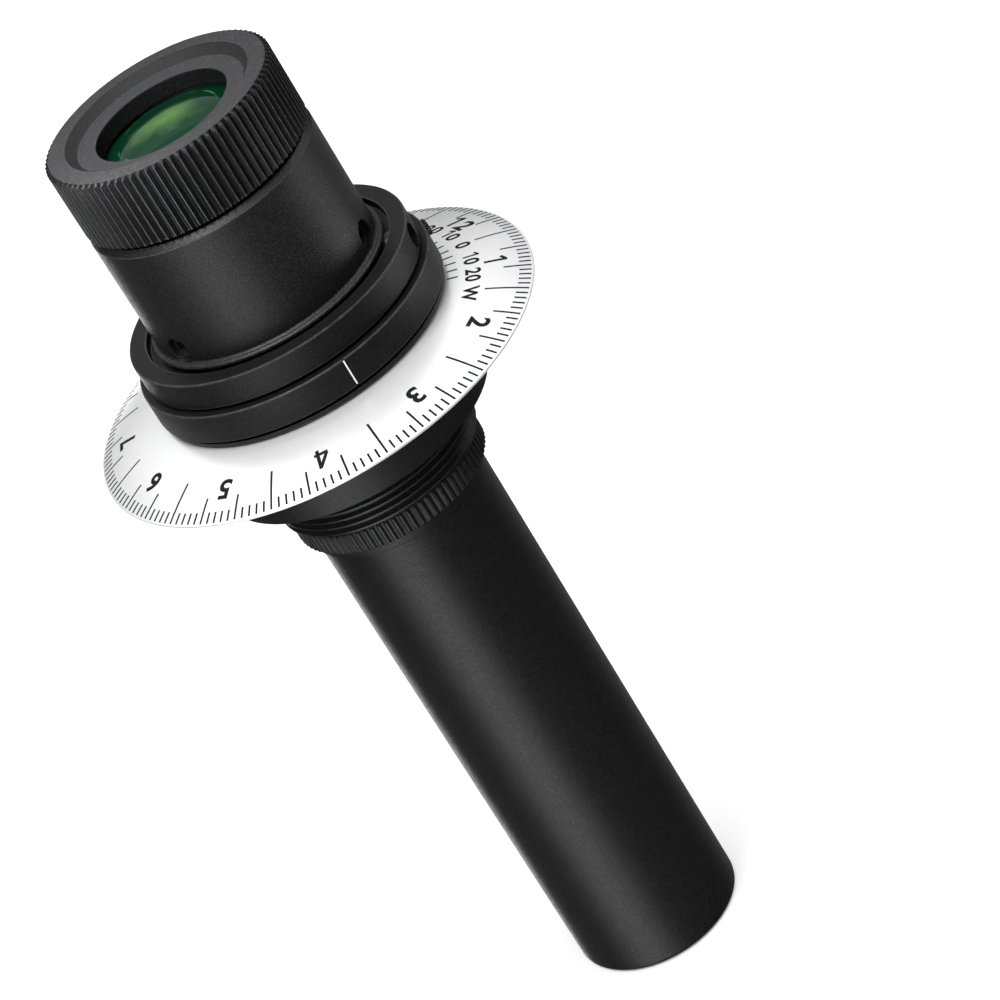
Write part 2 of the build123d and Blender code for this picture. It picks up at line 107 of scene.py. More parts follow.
def colour_property(label, text, value):
    return FloatVectorProperty(name=label, description=text, default=value, size=3, subtype="COLOR",
                               min=0, max=1)


def count_property(label, text, value):
    return IntProperty(name=label, description=text, default=value, min=3)


# ---------------------------------------------------------------- what a user may change
class TurningSizes(bpy.types.PropertyGroup):
    sides: count_property("Sides", "Flat sides of a smooth turned surface", 192)
    edge: length_property("Edge break", "Width of the small break on turned edges", 0.16)
    fit: length_property("Fit", "Gap left between pieces that turn on each other", 0.05)
    seat: length_property("Seat", "Gap left between pieces that are pressed together", 0.02)


class HubSizes(bpy.types.PropertyGroup):
    neck: length_property("Neck radius", "Radius of the neck that carries the dial and the rings", 14.3)
    neck_top: length_property("Neck top", "Height of the neck's shoulder", 21.6)
    spigot: length_property("Spigot radius", "Radius of the spigot inside the barrel", 13.0)
    flange_top: length_property("Flange top", "Height of the flange under the dial", 12.0)
    light: length_property("Light path", "Radius of the bore that the light takes", 9.6)
    bore_top: length_property("Tube bore top", "Height where the bore of the tube ends", 5.0)
    crest: length_property("Thread crest", "Radius over the crests of the mounting thread", 14.0)
    pitch: length_property("Thread pitch", "Rise of the mounting thread in one turn", 1.0)
    depth: length_property("Thread depth", "Height of the ridge of the mounting thread", 0.54)


class BarrelSizes(bpy.types.PropertyGroup):
    bore: length_property("Bore", "Radius inside the barrel", 13.0)
    wall: length_property("Barrel radius", "Outer radius of the plain barrel", 15.2)
    foot: length_property("Foot", "Where the lip of the barrel starts, above its skirt", 22.37)
    lip: length_property("Lip height", "Height of the lip at the foot of the barrel", 0.63)
    chamfer: length_property("Chamfer", "Chamfer at the top of the barrel", 0.7)
    screw_height: length_property("Screw height", "Height of the three reticle screws", 24.75)
    screw_hole: length_property("Screw hole", "Radius of the reticle screw holes", 1.8)


class EyepieceSizes(bpy.types.PropertyGroup):
    head_bottom: length_property("Head bottom", "Height where the knurled head ends", 40.3)
    teeth: count_property("Knurl teeth", "Teeth of the straight knurl", 90)
    depth: length_property("Knurl depth", "Depth of the knurl", 0.62)
    recess: length_property("Recess radius", "Radius of the recess in the face", 12.25)
    floor: length_property("Recess floor radius", "Radius of the recess at its floor", 11.2)
    floor_height: length_property("Recess floor", "Height of the recess floor", 48.75)
    mouth: length_property("Mouth radius", "Radius of the opening over the eye lens", 8.8)
    mouth_bottom: length_property("Mouth bottom", "Height where the wall round the eye lens ends", 46.5)
    bore: length_property("Bore radius", "Radius inside the sleeve", 9.5)


class DialSizes(bpy.types.PropertyGroup):
    seat: length_property("Seat radius", "Radius where the dished part starts", 20.0)
    seat_height: length_property("Seat height", "Height where the dished part starts", 13.1)
    middle: length_property("Middle radius", "Radius half way down the dish", 25.0)
    middle_height: length_property("Middle height", "Height half way down the dish", 11.9)
    edge: length_property("Edge radius", "Radius where the dish meets its rim", 29.9)
    edge_height: length_property("Edge height", "Height where the dish meets its rim", 10.08)
    boss: length_property("Boss radius", "Radius of the thicker middle under the plate", 19.2)
    thickness: length_property("Thickness", "Thickness of the plate", 0.4)
    print_height: length_property("Print height", "How far the printed marks stand above the plate", 0.014)
    stroke: length_property("Stroke", "Width of the printed lines", 0.29)
    long_tick: length_property("Long lines", "Radius where the lines between months start", 24.6)
    medium_tick: length_property("Medium lines", "Radius where the ten-day lines start", 26.55)
    short_tick: length_property("Short lines", "Radius where the two-day lines start", 28.35)
    tick_end: length_property("Line ends", "Radius where the lines of the month scale end", 29.72)
    scale_start: length_property("Inner scale start", "Radius where the inner scale's lines start", 19.75)
    scale_end: length_property("Inner scale end", "Radius where the inner scale's lines end", 21.1)
    first_month: angle_property("First month", "Where the line before month 1 stands", 4.3)
    scale_centre: angle_property("Scale centre", "Where the zero of the inner scale stands", 3.6)


class FinishLook(bpy.types.PropertyGroup):
    black: colour_property("Black", "Black of the anodised pieces", (0.006, 0.006, 0.0064))
    # Worn edge: grey of the flecks and of rubbed edges, which on edges and knurl crests is also a painted
    # highlight
    worn: colour_property("Worn edge", "Grey of worn edges", (0.16, 0.16, 0.165))
    silver: colour_property("Dial", "Colour of the dial plate", (0.88, 0.88, 0.885))
    ink: colour_property("Ink", "Colour of the printed marks", (0.005, 0.005, 0.005))
    coating: colour_property("Lens coating", "Tint of what the lens coating reflects", (0.12, 0.75, 0.3))
    glass: colour_property("Lens glass", "Colour of the coated glass at its edge", (0.0012, 0.02, 0.009))
    # colour of the painted glint, a thin arc laid into the lens's base colour
    glint: colour_property("Lens glint", "Colour of the inner lens's edge, seen inside", (0.06, 0.24, 0.12))
    # colour of the painted reflection in the lens's middle
    glow: colour_property("Lens glow", "Colour of the coated glass in its middle", (0.06, 0.16, 0.03))
    fleck: amount_property("Flecks", "How far the blasted grain's flecks go to grey", 0.1)
    roughness: amount_property("Roughness", "Roughness of the anodised pieces", 0.38)
    grain: amount_property("Grain", "Strength of the blasted grain", 0.8)


class StudioLook(bpy.types.PropertyGroup):
    camera: FloatVectorProperty(name="Camera", description="Where the camera stands", subtype="TRANSLATION",
                                unit="LENGTH", default=(0.010523, -0.41957, 0.2245), precision=5)
    pitch: angle_property("Pitch", "How far the camera looks down", 30.277)
    roll: angle_property("Roll", "How far the camera is rolled", -31.325)
    lens: FloatProperty(name="Lens", description="Focal length", default=137.744, unit="CAMERA")
    floor: colour_property("Floor", "Colour of the floor", (0.95, 0.95, 0.95))
    table: amount_property("Light table", "Glow of the floor", 0.25)
    face: amount_property("Face light", "Power of the light at the eyepiece's face, in watts", 0.014, 200.0)
    key: amount_property("Key light", "Power of the overhead light, in watts", 4.3, 200.0)
    near: amount_property("Near light", "Power of the small light over the eyepiece, in watts", 0.12, 200.0)
    strip: amount_property("Strip light", "Power of the left strip light, in watts", 1.8, 200.0)
    back_strip: amount_property("Back strip light", "Power of the low light behind, in watts", 1.08, 200.0)
    side: amount_property("Side light", "Power of the right strip light, in watts", 0.05, 200.0)
    glint: amount_property("Glint light", "Power of the light that edges the right, in watts", 0.3, 200.0)
    back: amount_property("Back light", "Power of the light behind, in watts", 0.9, 200.0)
    dome: amount_property("Dome", "Brightness of the room's ceiling", 1.35, 10.0)
    surround: amount_property("Surround", "Brightness of the room below the ceiling", 0.05, 10.0)
    rim: amount_property("Rim", "Brightness low behind the object, which edges its walls", 0.3, 10.0)


GROUPS = {
    "turning": TurningSizes,
    "hub": HubSizes,
    "barrel": BarrelSizes,
    "eyepiece": EyepieceSizes,
    "dial": DialSizes,
    "finish": FinishLook,
    "studio": StudioLook,
}


class ScopeSettings(bpy.types.PropertyGroup):
    __annotations__ = {key: PointerProperty(type=group) for key, group in GROUPS.items()}


def settings():
    return bpy.context.scene.scope


# ---------------------------------------------------------------- hand work
def start():
    """Object mode with nothing selected."""
    if bpy.context.mode != "OBJECT":
        bpy.ops.object.mode_set(mode="OBJECT")
    bpy.ops.object.select_all(action="DESELECT")


def take(piece):
    """Select one piece alone and make it active."""
    start()
    piece.select_set(True)
    bpy.context.view_layer.objects.active = piece
    return piece


def named(name):
    piece = bpy.context.object
    piece.name = name
    piece.data.name = name
    return piece


def pick(piece, wanted):
    """In edit mode, select the vertices whose place passes the test."""
    mesh = bmesh.from_edit_mesh(piece.data)
    bpy.ops.mesh.select_mode(type="VERT")
    for vertex in mesh.verts:
        vertex.select = bool(wanted(vertex.co))
    mesh.select_flush_mode()
    bmesh.update_edit_mesh(piece.data)


def turn(name, outline, sides=None):
    """Turn a closed outline of (radius, height) points: a circle, extruded and resized to each point."""
    start()
    radius, height = outline[0]
    bpy.ops.mesh.primitive_circle_add(vertices=sides or settings().turning.sides, radius=radius,
                                      location=(0, 0, height))
    piece = named(name)
    bpy.ops.object.transform_apply(location=True, rotation=False, scale=False)
    bpy.ops.object.mode_set(mode="EDIT")
    bpy.ops.mesh.select_all(action="SELECT")
    for next_radius, next_height in [*outline[1:], outline[0]]:
        rise = (0, 0, next_height - height)
        bpy.ops.mesh.extrude_region_move(TRANSFORM_OT_translate={"value": rise})
        grow = next_radius / radius
        bpy.ops.transform.resize(value=(grow, grow, 1), center_override=(0, 0, next_height))
        radius, height = next_radius, next_height
    bpy.ops.mesh.select_all(action="SELECT")
    bpy.ops.mesh.remove_doubles(threshold=5e-6)
    bpy.ops.mesh.normals_make_consistent(inside=False)
    bpy.ops.object.mode_set(mode="OBJECT")
    return piece


POLE = 1e-6  # an outline that reaches the axis stops here, and its ring is merged to one point
TINY = 1e-6  # keeps a point on a limit inside it


def modify(piece, kind, **values):
    """Add a modifier, set it and apply it."""
    take(piece)
    modifier = piece.modifiers.new(kind.title(), kind)
    for key, value in values.items():
        setattr(modifier, key, value)
    bpy.ops.object.modifier_apply(modifier=modifier.name)
    return piece


def break_edges(piece, width=None, segments=2):
    """Break the turned edges with a small round."""
    width = width or settings().turning.edge
    piece.data.materials.append(None)
    piece.data.materials.append(None)
    # the breaks take slot 1, the rubbed edge finish: wear and a painted highlight
    return modify(piece, "BEVEL", width=width, segments=segments, limit_method="ANGLE",
                  angle_limit=radians(28), harden_normals=False, material=1)


def true_normal(normal, corner):
    """The lathe's exact normal on a face that is a turned wall or flat, or None."""
    if abs(normal.z) > 0.9995:
        return Vector((0, 0, 1 if normal.z > 0 else -1))
    out = Vector((corner.x, corner.y, 0)).normalized()
    side = normal.dot(out)
    if abs(normal.z) < 0.01 and abs(side) > 0.996:
        return out if side > 0 else -out
    return None


def smooth(piece, angle=35.0):
    """Shade smooth. Turned walls and flats get exact normals, and the breaks beside them run into those."""
    take(piece)
    bpy.ops.object.shade_smooth_by_angle(angle=radians(angle))
    mesh = piece.data
    lead = {}
    for face in mesh.polygons:
        for index in face.vertices:
            exact = true_normal(face.normal, mesh.vertices[index].co)
            if exact:
                lead.setdefault(index, []).append(exact)
    near = cos(radians(angle))
    normals = [Vector(corner.vector) for corner in mesh.corner_normals]
    for face in mesh.polygons:
        for loop in face.loop_indices:
            index = mesh.loops[loop].vertex_index
            exact = true_normal(face.normal, mesh.vertices[index].co)
            beside = [normal for normal in lead.get(index, ()) if normal.dot(face.normal) > near]
            if exact or beside:
                normals[loop] = exact or beside[0]
    mesh.normals_split_custom_set(normals)
    return piece


def radial(angle, radius, height):
    """A place whose +Z points outwards at an azimuth, with +Y up."""
    c, s = cos(angle), sin(angle)
    return Matrix(((-s, 0, c, radius * c), (c, 0, s, radius * s), (0, 1, 0, height), (0, 0, 0, 1)))


def place(piece, matrix):
    """Put the piece at a place and apply it to the mesh."""
    take(piece)
    piece.matrix_world = matrix
    bpy.context.view_layer.update()
    bpy.ops.object.transform_apply(location=True, rotation=True, scale=True)
    return piece


def cut(piece, cutter, operation="DIFFERENCE"):
    """Boolean with a cutter that is then thrown away."""
    modify(piece, "BOOLEAN", object=cutter, operation=operation, solver="EXACT")
    bpy.data.objects.remove(cutter)
    return piece


def drill(piece, angle, radius, height, hole, mouth, depth):
    """Drill a radial hole with a chamfered mouth inwards from a radius."""
    outline = [
        (POLE, -depth), (hole, -depth), (hole, -mouth), (hole + 2 * mouth, mouth), (POLE, mouth),
    ]
    return cut(piece, place(turn("drill", outline, sides=48), radial(angle, radius, height)))


def join(pieces, name):
    """Join pieces into the first one."""
    take(pieces[0])
    for piece in pieces:
        piece.select_set(True)
    bpy.ops.object.join()
    return named(name)


def copy_of(piece, matrix):
    """A placed copy with its own mesh."""
    copy = piece.copy()
    copy.data = piece.data.copy()
    bpy.context.collection.objects.link(copy)
    copy.data.transform(matrix)
    return copy


def hand_in(piece, body, slot, look, *nodes, others=("edge",)):
    """Ride on the body, wear the finishes and stand for the CAD nodes. The slot is not used."""
    slots = piece.data.materials
    looks = (look, *others) if len(slots) > 1 else (look,)
    marked = [face.material_index for face in piece.data.polygons]
    slots.clear()
    for name in looks:
        slots.append(FINISHES[name])
    piece.data.polygons.foreach_set("material_index", marked)
    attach(piece, body)
    if nodes:
        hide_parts(*nodes)
    return piece


def knurl(piece, teeth, parts, bottom, top, depth, crest_slot=1):
    """Cut a straight knurl: every tooth is a run of columns, pushed in to its valley, its crest given the
    rubbed edge finish, which is also a painted highlight.
    """
    steepness, held_back = 1.3, 0.16
    push = {}
    for column in range(2, parts):
        across = 1 - abs(1 - 2 * (column - 0.5) / parts)
        push[column] = min(1, steepness * across - held_back)
    take(piece)
    bpy.ops.object.mode_set(mode="EDIT")
    radius = max(v.co.xy.length for v in piece.data.vertices)
    for column, share in push.items():
        def on_column(co):
            step = round(atan2(co.y, co.x) / tau * teeth * parts) % parts
            return step == column and co.xy.length > radius - depth * 0.4 and bottom <= co.z <= top
        pick(piece, on_column)
        shrink = (radius - depth * share) / radius
        bpy.ops.transform.resize(value=(shrink, shrink, 1), center_override=(0, 0, 0))
    bpy.ops.object.mode_set(mode="OBJECT")
    while len(piece.data.materials) <= crest_slot:
        piece.data.materials.append(None)
    for face in piece.data.polygons:
        middle = face.center
        column = int(atan2(middle.y, middle.x) % tau / tau * teeth * parts) % parts
        # the crest column wears the rubbed edge finish: wear, and a painted highlight of the kind a rounded
        # crest catches
        if column == 0 and bottom < middle.z < top and middle.xy.length > radius - depth * 0.2:
            face.material_index = crest_slot
    return piece


# ---------------------------------------------------------------- finishes
def add(tree, kind, inputs=None, **values):
    """Add a shader node; an input is a value or another node's socket."""
    node = tree.nodes.new("ShaderNode" + kind)
    for key, value in values.items():
        setattr(node, key, value)
    for key, value in (inputs or {}).items():
        if isinstance(value, bpy.types.NodeSocket):
            tree.links.new(value, node.inputs[key])
        else:
            node.inputs[key].default_value = value
    return node


def finish(name, **shader):
    """An empty material with its shader, whose constants are set on its own sockets."""
    material = bpy.data.materials.new(name)
    material.use_nodes = True
    tree = material.node_tree
    principled = tree.nodes["Principled BSDF"]
    for key, value in shader.items():
        principled.inputs[key.replace("_", " ")].default_value = value
    return material, tree, principled


def place_socket(tree):
    return add(tree, "TexCoord").outputs["Object"]


def noise(tree, place, scale, detail=3.0, roughness=0.6):
    """Noise with a scale in features per metre."""
    inputs = {"Vector": place, "Scale": scale, "Detail": detail, "Roughness": roughness}
    return add(tree, "TexNoise", inputs).outputs["Fac"]


def remap(tree, value, low, high, to_low, to_high):
    inputs = {"Value": value, "From Min": low, "From Max": high, "To Min": to_low, "To Max": to_high}
    return add(tree, "MapRange", inputs).outputs["Result"]


def blend(tree, factor, first, second):
    """Mix two colours."""
    inputs = {0: factor, 6: first, 7: second}
    return add(tree, "Mix", inputs, data_type="RGBA").outputs[2]


def multiply(tree, first, second):
    return add(tree, "Math", {0: first, 1: second}, operation="MULTIPLY").outputs[0]


def bump(tree, height, strength, distance):
    inputs = {"Height": height, "Strength": strength, "Distance": distance}
    return add(tree, "Bump", inputs).outputs["Normal"]


def lathe_place(tree, across, along, around):
    """A place that runs with the lathe: fine across the radius and the height, long round the turn."""
    parts = add(tree, "SeparateXYZ", {"Vector": place_socket(tree)}).outputs
    flat = add(tree, "CombineXYZ", {"X": parts["X"], "Y": parts["Y"]}).outputs[0]
    radius = add(tree, "VectorMath", {0: flat}, operation="LENGTH").outputs["Value"]
    turned = add(tree, "VectorMath", {0: flat}, operation="NORMALIZE").outputs[0]
    turned = add(tree, "VectorMath", {0: turned, "Scale": around}, operation="SCALE").outputs[0]
    sides = add(tree, "SeparateXYZ", {"Vector": turned}).outputs
    fine = multiply(tree, radius, across)
    tall = multiply(tree, parts["Z"], along)
    both = add(tree, "Math", {0: fine, 1: tall}, operation="ADD").outputs[0]
    return add(tree, "CombineXYZ", {"X": both, "Y": sides["X"], "Z": sides["Y"]}).outputs[0]


FEATURES = {"grain": 6000, "fleck": 9000, "rub": 1100, "blotch": 160, "lines": 9000}  # in a metre
GRAIN_DEPTH = 0.09 * MM


def opaque(colour):
    return (*colour[:3], 1.0)


def anodised(name, lighten=1.0, rough=0.0, lines=0.0, worn=0.0, gloss=0.28, flecks=1.0):
    """Black anodised aluminium: blasted grain, flecks, slight blotches, turned lines and rubbed metal, the
    rubbed grey partly a painted highlight; lighten makes lighter or darker copies of the black.
    """
    look = settings().finish
    black = [channel * lighten for channel in look.black]
    material, tree, principled = finish(name, Metallic=0.0, IOR=1.5, Specular_IOR_Level=gloss)
    where = place_socket(tree)
    grain = noise(tree, where, FEATURES["grain"], 2.0, 0.6)
    blotch = noise(tree, where, FEATURES["blotch"], 3.0)
    dark = blend(tree, remap(tree, grain, 0.32, 0.7, 0, 1), opaque([c * 0.45 for c in black]),
                 opaque([c * 1.35 for c in black]))
    toned = blend(tree, remap(tree, blotch, 0.35, 0.65, 0.0, 0.35), dark, opaque(black))
    fleck = noise(tree, where, FEATURES["fleck"], 1.0, 0.5)
    toned = blend(tree, remap(tree, fleck, 0.5, 0.74, 0, look.fleck * flecks), toned, opaque(look.worn))
    # rubbed lighter grey of the edge finish: wear, and partly a painted highlight on edges and knurl crests
    if worn:
        rub = noise(tree, where, FEATURES["rub"], 4.0, 0.75)
        rub = remap(tree, rub, 0.42, 0.62, worn * 0.4, worn)
        toned = blend(tree, rub, toned, opaque(look.worn))
    tree.links.new(toned, principled.inputs["Base Color"])
    base = look.roughness + rough
    tree.links.new(remap(tree, grain, 0.35, 0.65, base - 0.1, base + 0.12), principled.inputs["Roughness"])
    height = grain
    if lines:
        turned = noise(tree, lathe_place(tree, FEATURES["lines"], FEATURES["lines"], 2.0), 1.0, 2.0)
        height = add(tree, "Mix", {0: lines, 2: grain, 3: turned}).outputs[0]
    tree.links.new(bump(tree, height, look.grain, GRAIN_DEPTH), principled.inputs["Normal"])
    return material


def dial_plate():
    """Satin plate, brushed outwards from its middle, faintly streaked."""
    look = settings().finish
    material, tree, principled = finish("brushed dial plate", Metallic=0.54, Anisotropic=0.5, IOR=1.5)
    brushed = noise(tree, lathe_place(tree, 260, 0, 130), 1.0, 3.0, 0.55)
    blotch = noise(tree, place_socket(tree), 70, 2.0)
    bright = opaque(look.silver)
    shade = opaque([c * 0.985 for c in look.silver])
    streaks = blend(tree, remap(tree, brushed, 0.3, 0.7, 0, 1), shade, bright)
    toned = blend(tree, remap(tree, blotch, 0.4, 0.7, 0, 0.25), streaks, shade)
    tree.links.new(toned, principled.inputs["Base Color"])
    tree.links.new(remap(tree, brushed, 0.3, 0.7, 0.3, 0.36), principled.inputs["Roughness"])
    tree.links.new(bump(tree, brushed, 0.08, 0.02 * MM), principled.inputs["Normal"])
    tangent = add(tree, "Tangent", direction_type="RADIAL", axis="Z").outputs[0]
    tree.links.new(tangent, principled.inputs["Tangent"])
    return material


def ink():
    """Black ink, a little uneven where it was pressed."""
    look = settings().finish
    material, tree, principled = finish("printed ink", IOR=1.45, Specular_IOR_Level=0.15)
    press = noise(tree, place_socket(tree), 3800, 3.0)
    worn = blend(tree, remap(tree, press, 0.5, 0.85, 0, 0.35), opaque(look.ink), (0.04, 0.04, 0.04, 1))
    tree.links.new(worn, principled.inputs["Base Color"])
    tree.links.new(remap(tree, press, 0.3, 0.7, 0.45, 0.62), principled.inputs["Roughness"])
    tree.links.new(bump(tree, press, 0.2, 0.01 * MM), principled.inputs["Normal"])
    return material


def grainy(name, slot, scale, spread, rough, depth, **shader):
    """A plain finish in a slot's colour, with grain in its tone, gloss and surface."""
    colour = SLOTS[slot]["base_color"][:3]
    material, tree, principled = finish(name, **shader)
    grain = noise(tree, place_socket(tree), scale, 4.0)
    tone = blend(tree, remap(tree, grain, 0.3, 0.7, 0, 1), opaque([c * (1 - spread) for c in colour]),
                 opaque([min(1.0, c * (1 + spread)) for c in colour]))
    tree.links.new(tone, principled.inputs["Base Color"])
    tree.links.new(remap(tree, grain, 0.3, 0.7, rough - 0.06, rough + 0.06), principled.inputs["Roughness"])
    tree.links.new(bump(tree, grain, 0.3, depth * MM), principled.inputs["Normal"])
    return material


def lens_coating():
    """Dark glass under a green coating, with a painted reflection, paler and yellower, in its middle and a
    painted glint in an arc round it.
    """
    look = settings().finish
    painted_glint_radius = 6.7 * MM
    tint = opaque(look.coating)
    material, tree, principled = finish("green coated glass", Roughness=0.03, IOR=1.6,
                                        Specular_IOR_Level=0.14, Specular_Tint=tint)
    where = place_socket(tree)
    # painted reflection: a paler, yellower patch laid into the base colour of the lens's middle
    glow = add(tree, "Mapping", {"Vector": where, "Scale": (1.0, 1.7, 0.0)}).outputs[0]
    away = add(tree, "VectorMath", {0: glow}, operation="LENGTH").outputs["Value"]
    swirl = noise(tree, where, 170, 4.0)
    spread = add(tree, "Math", {0: away, 1: multiply(tree, swirl, 9 * MM)}, operation="ADD").outputs[0]
    glass_and_painted_reflection = blend(tree, remap(tree, spread, 3.8 * MM, 10.2 * MM, 0, 1), opaque(look.glow), opaque(look.glass))
    flat = add(tree, "Mapping", {"Vector": where, "Scale": (1.0, 1.0, 0.0)}).outputs[0]
    radius = add(tree, "VectorMath", {0: flat}, operation="LENGTH").outputs["Value"]
    off = add(tree, "Math", {0: radius, 1: painted_glint_radius}, operation="SUBTRACT").outputs[0]
    off = add(tree, "Math", {0: off}, operation="ABSOLUTE").outputs[0]
    # painted glint: a thin lighter arc round the lens's middle, broken up by the swirl
    painted_glint = multiply(tree, remap(tree, off, 0.04 * MM, 0.2 * MM, 1, 0), remap(tree, swirl, 0.45, 0.6, 0, 1))
    tree.links.new(blend(tree, painted_glint, glass_and_painted_reflection, opaque(look.glint)), principled.inputs["Base Color"])
    return material


FINISHES = {}


def make_finishes():
    """Every finish, once."""
    FINISHES.update({
        "anodised": anodised("black anodised", lines=0.25),
        # anodised ring: a darker copy of the black, painted shade on the rings and the eyepiece head
        "anodised ring painted darker": anodised("black anodised ring", lighten=0.75, lines=0.25, gloss=0.17),
        # matte face: blasted grain with more flecks, its black lightened threefold as painted light on the
        # eyepiece's face
        "matte face painted lighter": anodised("blasted black face", lighten=3.0, rough=0.15, gloss=0.2, flecks=4.0),
        "thread": anodised("black cut thread", lighten=2.6, rough=-0.04, lines=0.3, gloss=0.4),
        # bore: near-black copy of the black, painted shade on the wall round the eye lens
        "bore": anodised("dark bore", lighten=0.3, rough=0.25, gloss=0.06),
        # edge: rubbed lighter grey, wear and partly a painted highlight on the breaks and knurl crests
        "edge": anodised("rubbed anodised edge", lighten=1.4, rough=-0.06, worn=0.22, gloss=0.36),
        "anodised tube": anodised("black anodised tube", rough=-0.02, lines=0.4),
        # inner: flat black of the pieces inside; on the eyepiece's recess wall it is painted shade
        "inner": anodised("flat black inside", lighten=0.6, rough=0.25),
        "dial": dial_plate(),
        "ink": ink(),
        "line": grainy("white line fill", "white_fill", 4000, 0.08, 0.5, 0.01),
        "screw": grainy("black oxide steel", "black_steel", 6000, 0.4, 0.34, 0.01, Metallic=0.8),
        "brass": grainy("turned brass", "brass_cell", 3000, 0.12, 0.4, 0.01, Metallic=1.0),
        "fibre": grainy("pressed fibre", "washer_fibre", 2500, 0.25, 0.75, 0.03),
        "rubber": grainy("greased rubber", "seal_rubber", 3000, 0.2, 0.5, 0.01),
        "coated": lens_coating(),
        "clear": grainy("polished clear glass", "clear_glass", 800, 0.03, 0.08, 0.001, IOR=1.52),
    })


# ---------------------------------------------------------------- pieces
BARREL_SCREWS = (radians(-28.0), radians(92.0), radians(212.0))
COLLAR_SCREW = (radians(-17.5), 20.75 * MM)  # azimuth and height
LOCK_SCREW = (radians(8.0), 16.5 * MM)
INDEX_LINE = radians(-80.5)
# radius of the middle, height, stroke and pitch of the dial's figures
MONTH_TYPE = (25.6 * MM, 2.55 * MM, 0.42 * MM, 2.45 * MM)
SCALE_TYPE = (23.0 * MM, 1.85 * MM, 0.3 * MM, 1.6 * MM)
INNER_SCALE = [("E", 31), ("20", 20.7), ("10", 10.3), ("0", 0), ("10", -10.3), ("20", -20.7), ("W", -31)]
DROP = 3 * MM  # how far above the seat flat print waits to be projected on the dial


def model_hub():
    """The flange, the neck and the core of the thread, with the helical ridge round it."""
    sizes, turning = settings().hub, settings().turning
    radius, bottom, top = span("hub")
    root, shoulder = sizes.crest - sizes.depth, sizes.crest - 0.02 * MM
    others = ("edge", "thread")
    bore = span("objective_tube")[0] + turning.fit
    hub = turn("hub_body", [
        (sizes.light, sizes.bore_top), (sizes.light, top),
        (sizes.spigot, top), (sizes.spigot, sizes.neck_top),
        (sizes.neck, sizes.neck_top), (sizes.neck, sizes.flange_top),
        (radius, sizes.flange_top), (radius, 0.0),
        (shoulder, 0.0), (shoulder, -0.35 * MM), (root, -0.75 * MM),
        (root, bottom), (bore, bottom), (bore, sizes.bore_top),
    ])
    break_edges(hub)
    # the ridge: a plane stood on its edge, narrowed at the crest and wound up by a screw
    start()
    half, crest_share = sizes.pitch * 0.47, 0.13
    outside = sizes.crest - 0.1 * MM
    bpy.ops.mesh.primitive_plane_add(size=2 * half, location=(sizes.crest - half, 0, bottom - sizes.pitch),
                                     rotation=(radians(90), 0, 0))
    ridge = named("thread_ridge")
    bpy.ops.object.transform_apply(location=True, rotation=True, scale=False)
    bpy.ops.object.mode_set(mode="EDIT")
    pick(ridge, lambda co: co.x > outside)
    middle = (sizes.crest, 0, bottom - sizes.pitch)
    bpy.ops.transform.resize(value=(1, 1, crest_share), center_override=middle)
    pick(ridge, lambda co: co.x < outside)
    sunk = 0.05 * MM
    inward = root - sunk - (sizes.crest - 2 * half)
    bpy.ops.transform.translate(value=(inward, 0, 0))
    bpy.ops.mesh.select_all(action="SELECT")
    bpy.ops.mesh.delete(type="ONLY_FACE")
    bpy.ops.object.mode_set(mode="OBJECT")
    turns = round(-bottom / sizes.pitch) + 1
    modify(ridge, "SCREW", screw_offset=sizes.pitch, iterations=turns, steps=128, render_steps=128,
           use_smooth_shade=False)
    bpy.ops.object.mode_set(mode="EDIT")
    bpy.ops.mesh.select_all(action="SELECT")
    bpy.ops.mesh.fill_holes(sides=4)
    bpy.ops.mesh.normals_make_consistent(inside=False)
    bpy.ops.object.mode_set(mode="OBJECT")
    inside, thread_top = root - 0.3 * MM, -0.3 * MM
    envelope = turn("thread_envelope", [
        (inside, bottom), (root + 0.02 * MM, bottom), (sizes.crest, bottom + 0.5 * MM),
        (sizes.crest, thread_top), (inside, thread_top),
    ])
    cut(ridge, envelope, "INTERSECT")
    hub = join([hub, ridge], "hub_body")
    hub.data.materials.append(None)
    for face in hub.data.polygons:
        if face.center.z < thread_top and face.center.xy.length > root - 0.1 * MM:
            face.material_index = 1 + others.index("thread")
    return hand_in(smooth(hub), "body", "black_anodised", "anodised", "hub", others=others)


def model_tube():
    """The long tube with a rounded front rim and a step for the objective."""
    radius, bottom, top = span("objective_tube")
    bore, lip, step = radius - 1.1 * MM, radius - 2.1 * MM, bottom + 1.2 * MM
    tube = turn("objective_tube_body", [
        (bore, step), (lip, step), (lip, bottom),
        (radius - 0.8 * MM, bottom), (radius - 0.3 * MM, bottom + 0.13 * MM),
        (radius - 0.08 * MM, bottom + 0.4 * MM), (radius, bottom + 0.8 * MM), (radius, top), (bore, top),
    ])
    break_edges(tube, 0.12 * MM)
    return hand_in(smooth(tube), "objective_tube", "black_anodised", "anodised tube", "objective_tube")


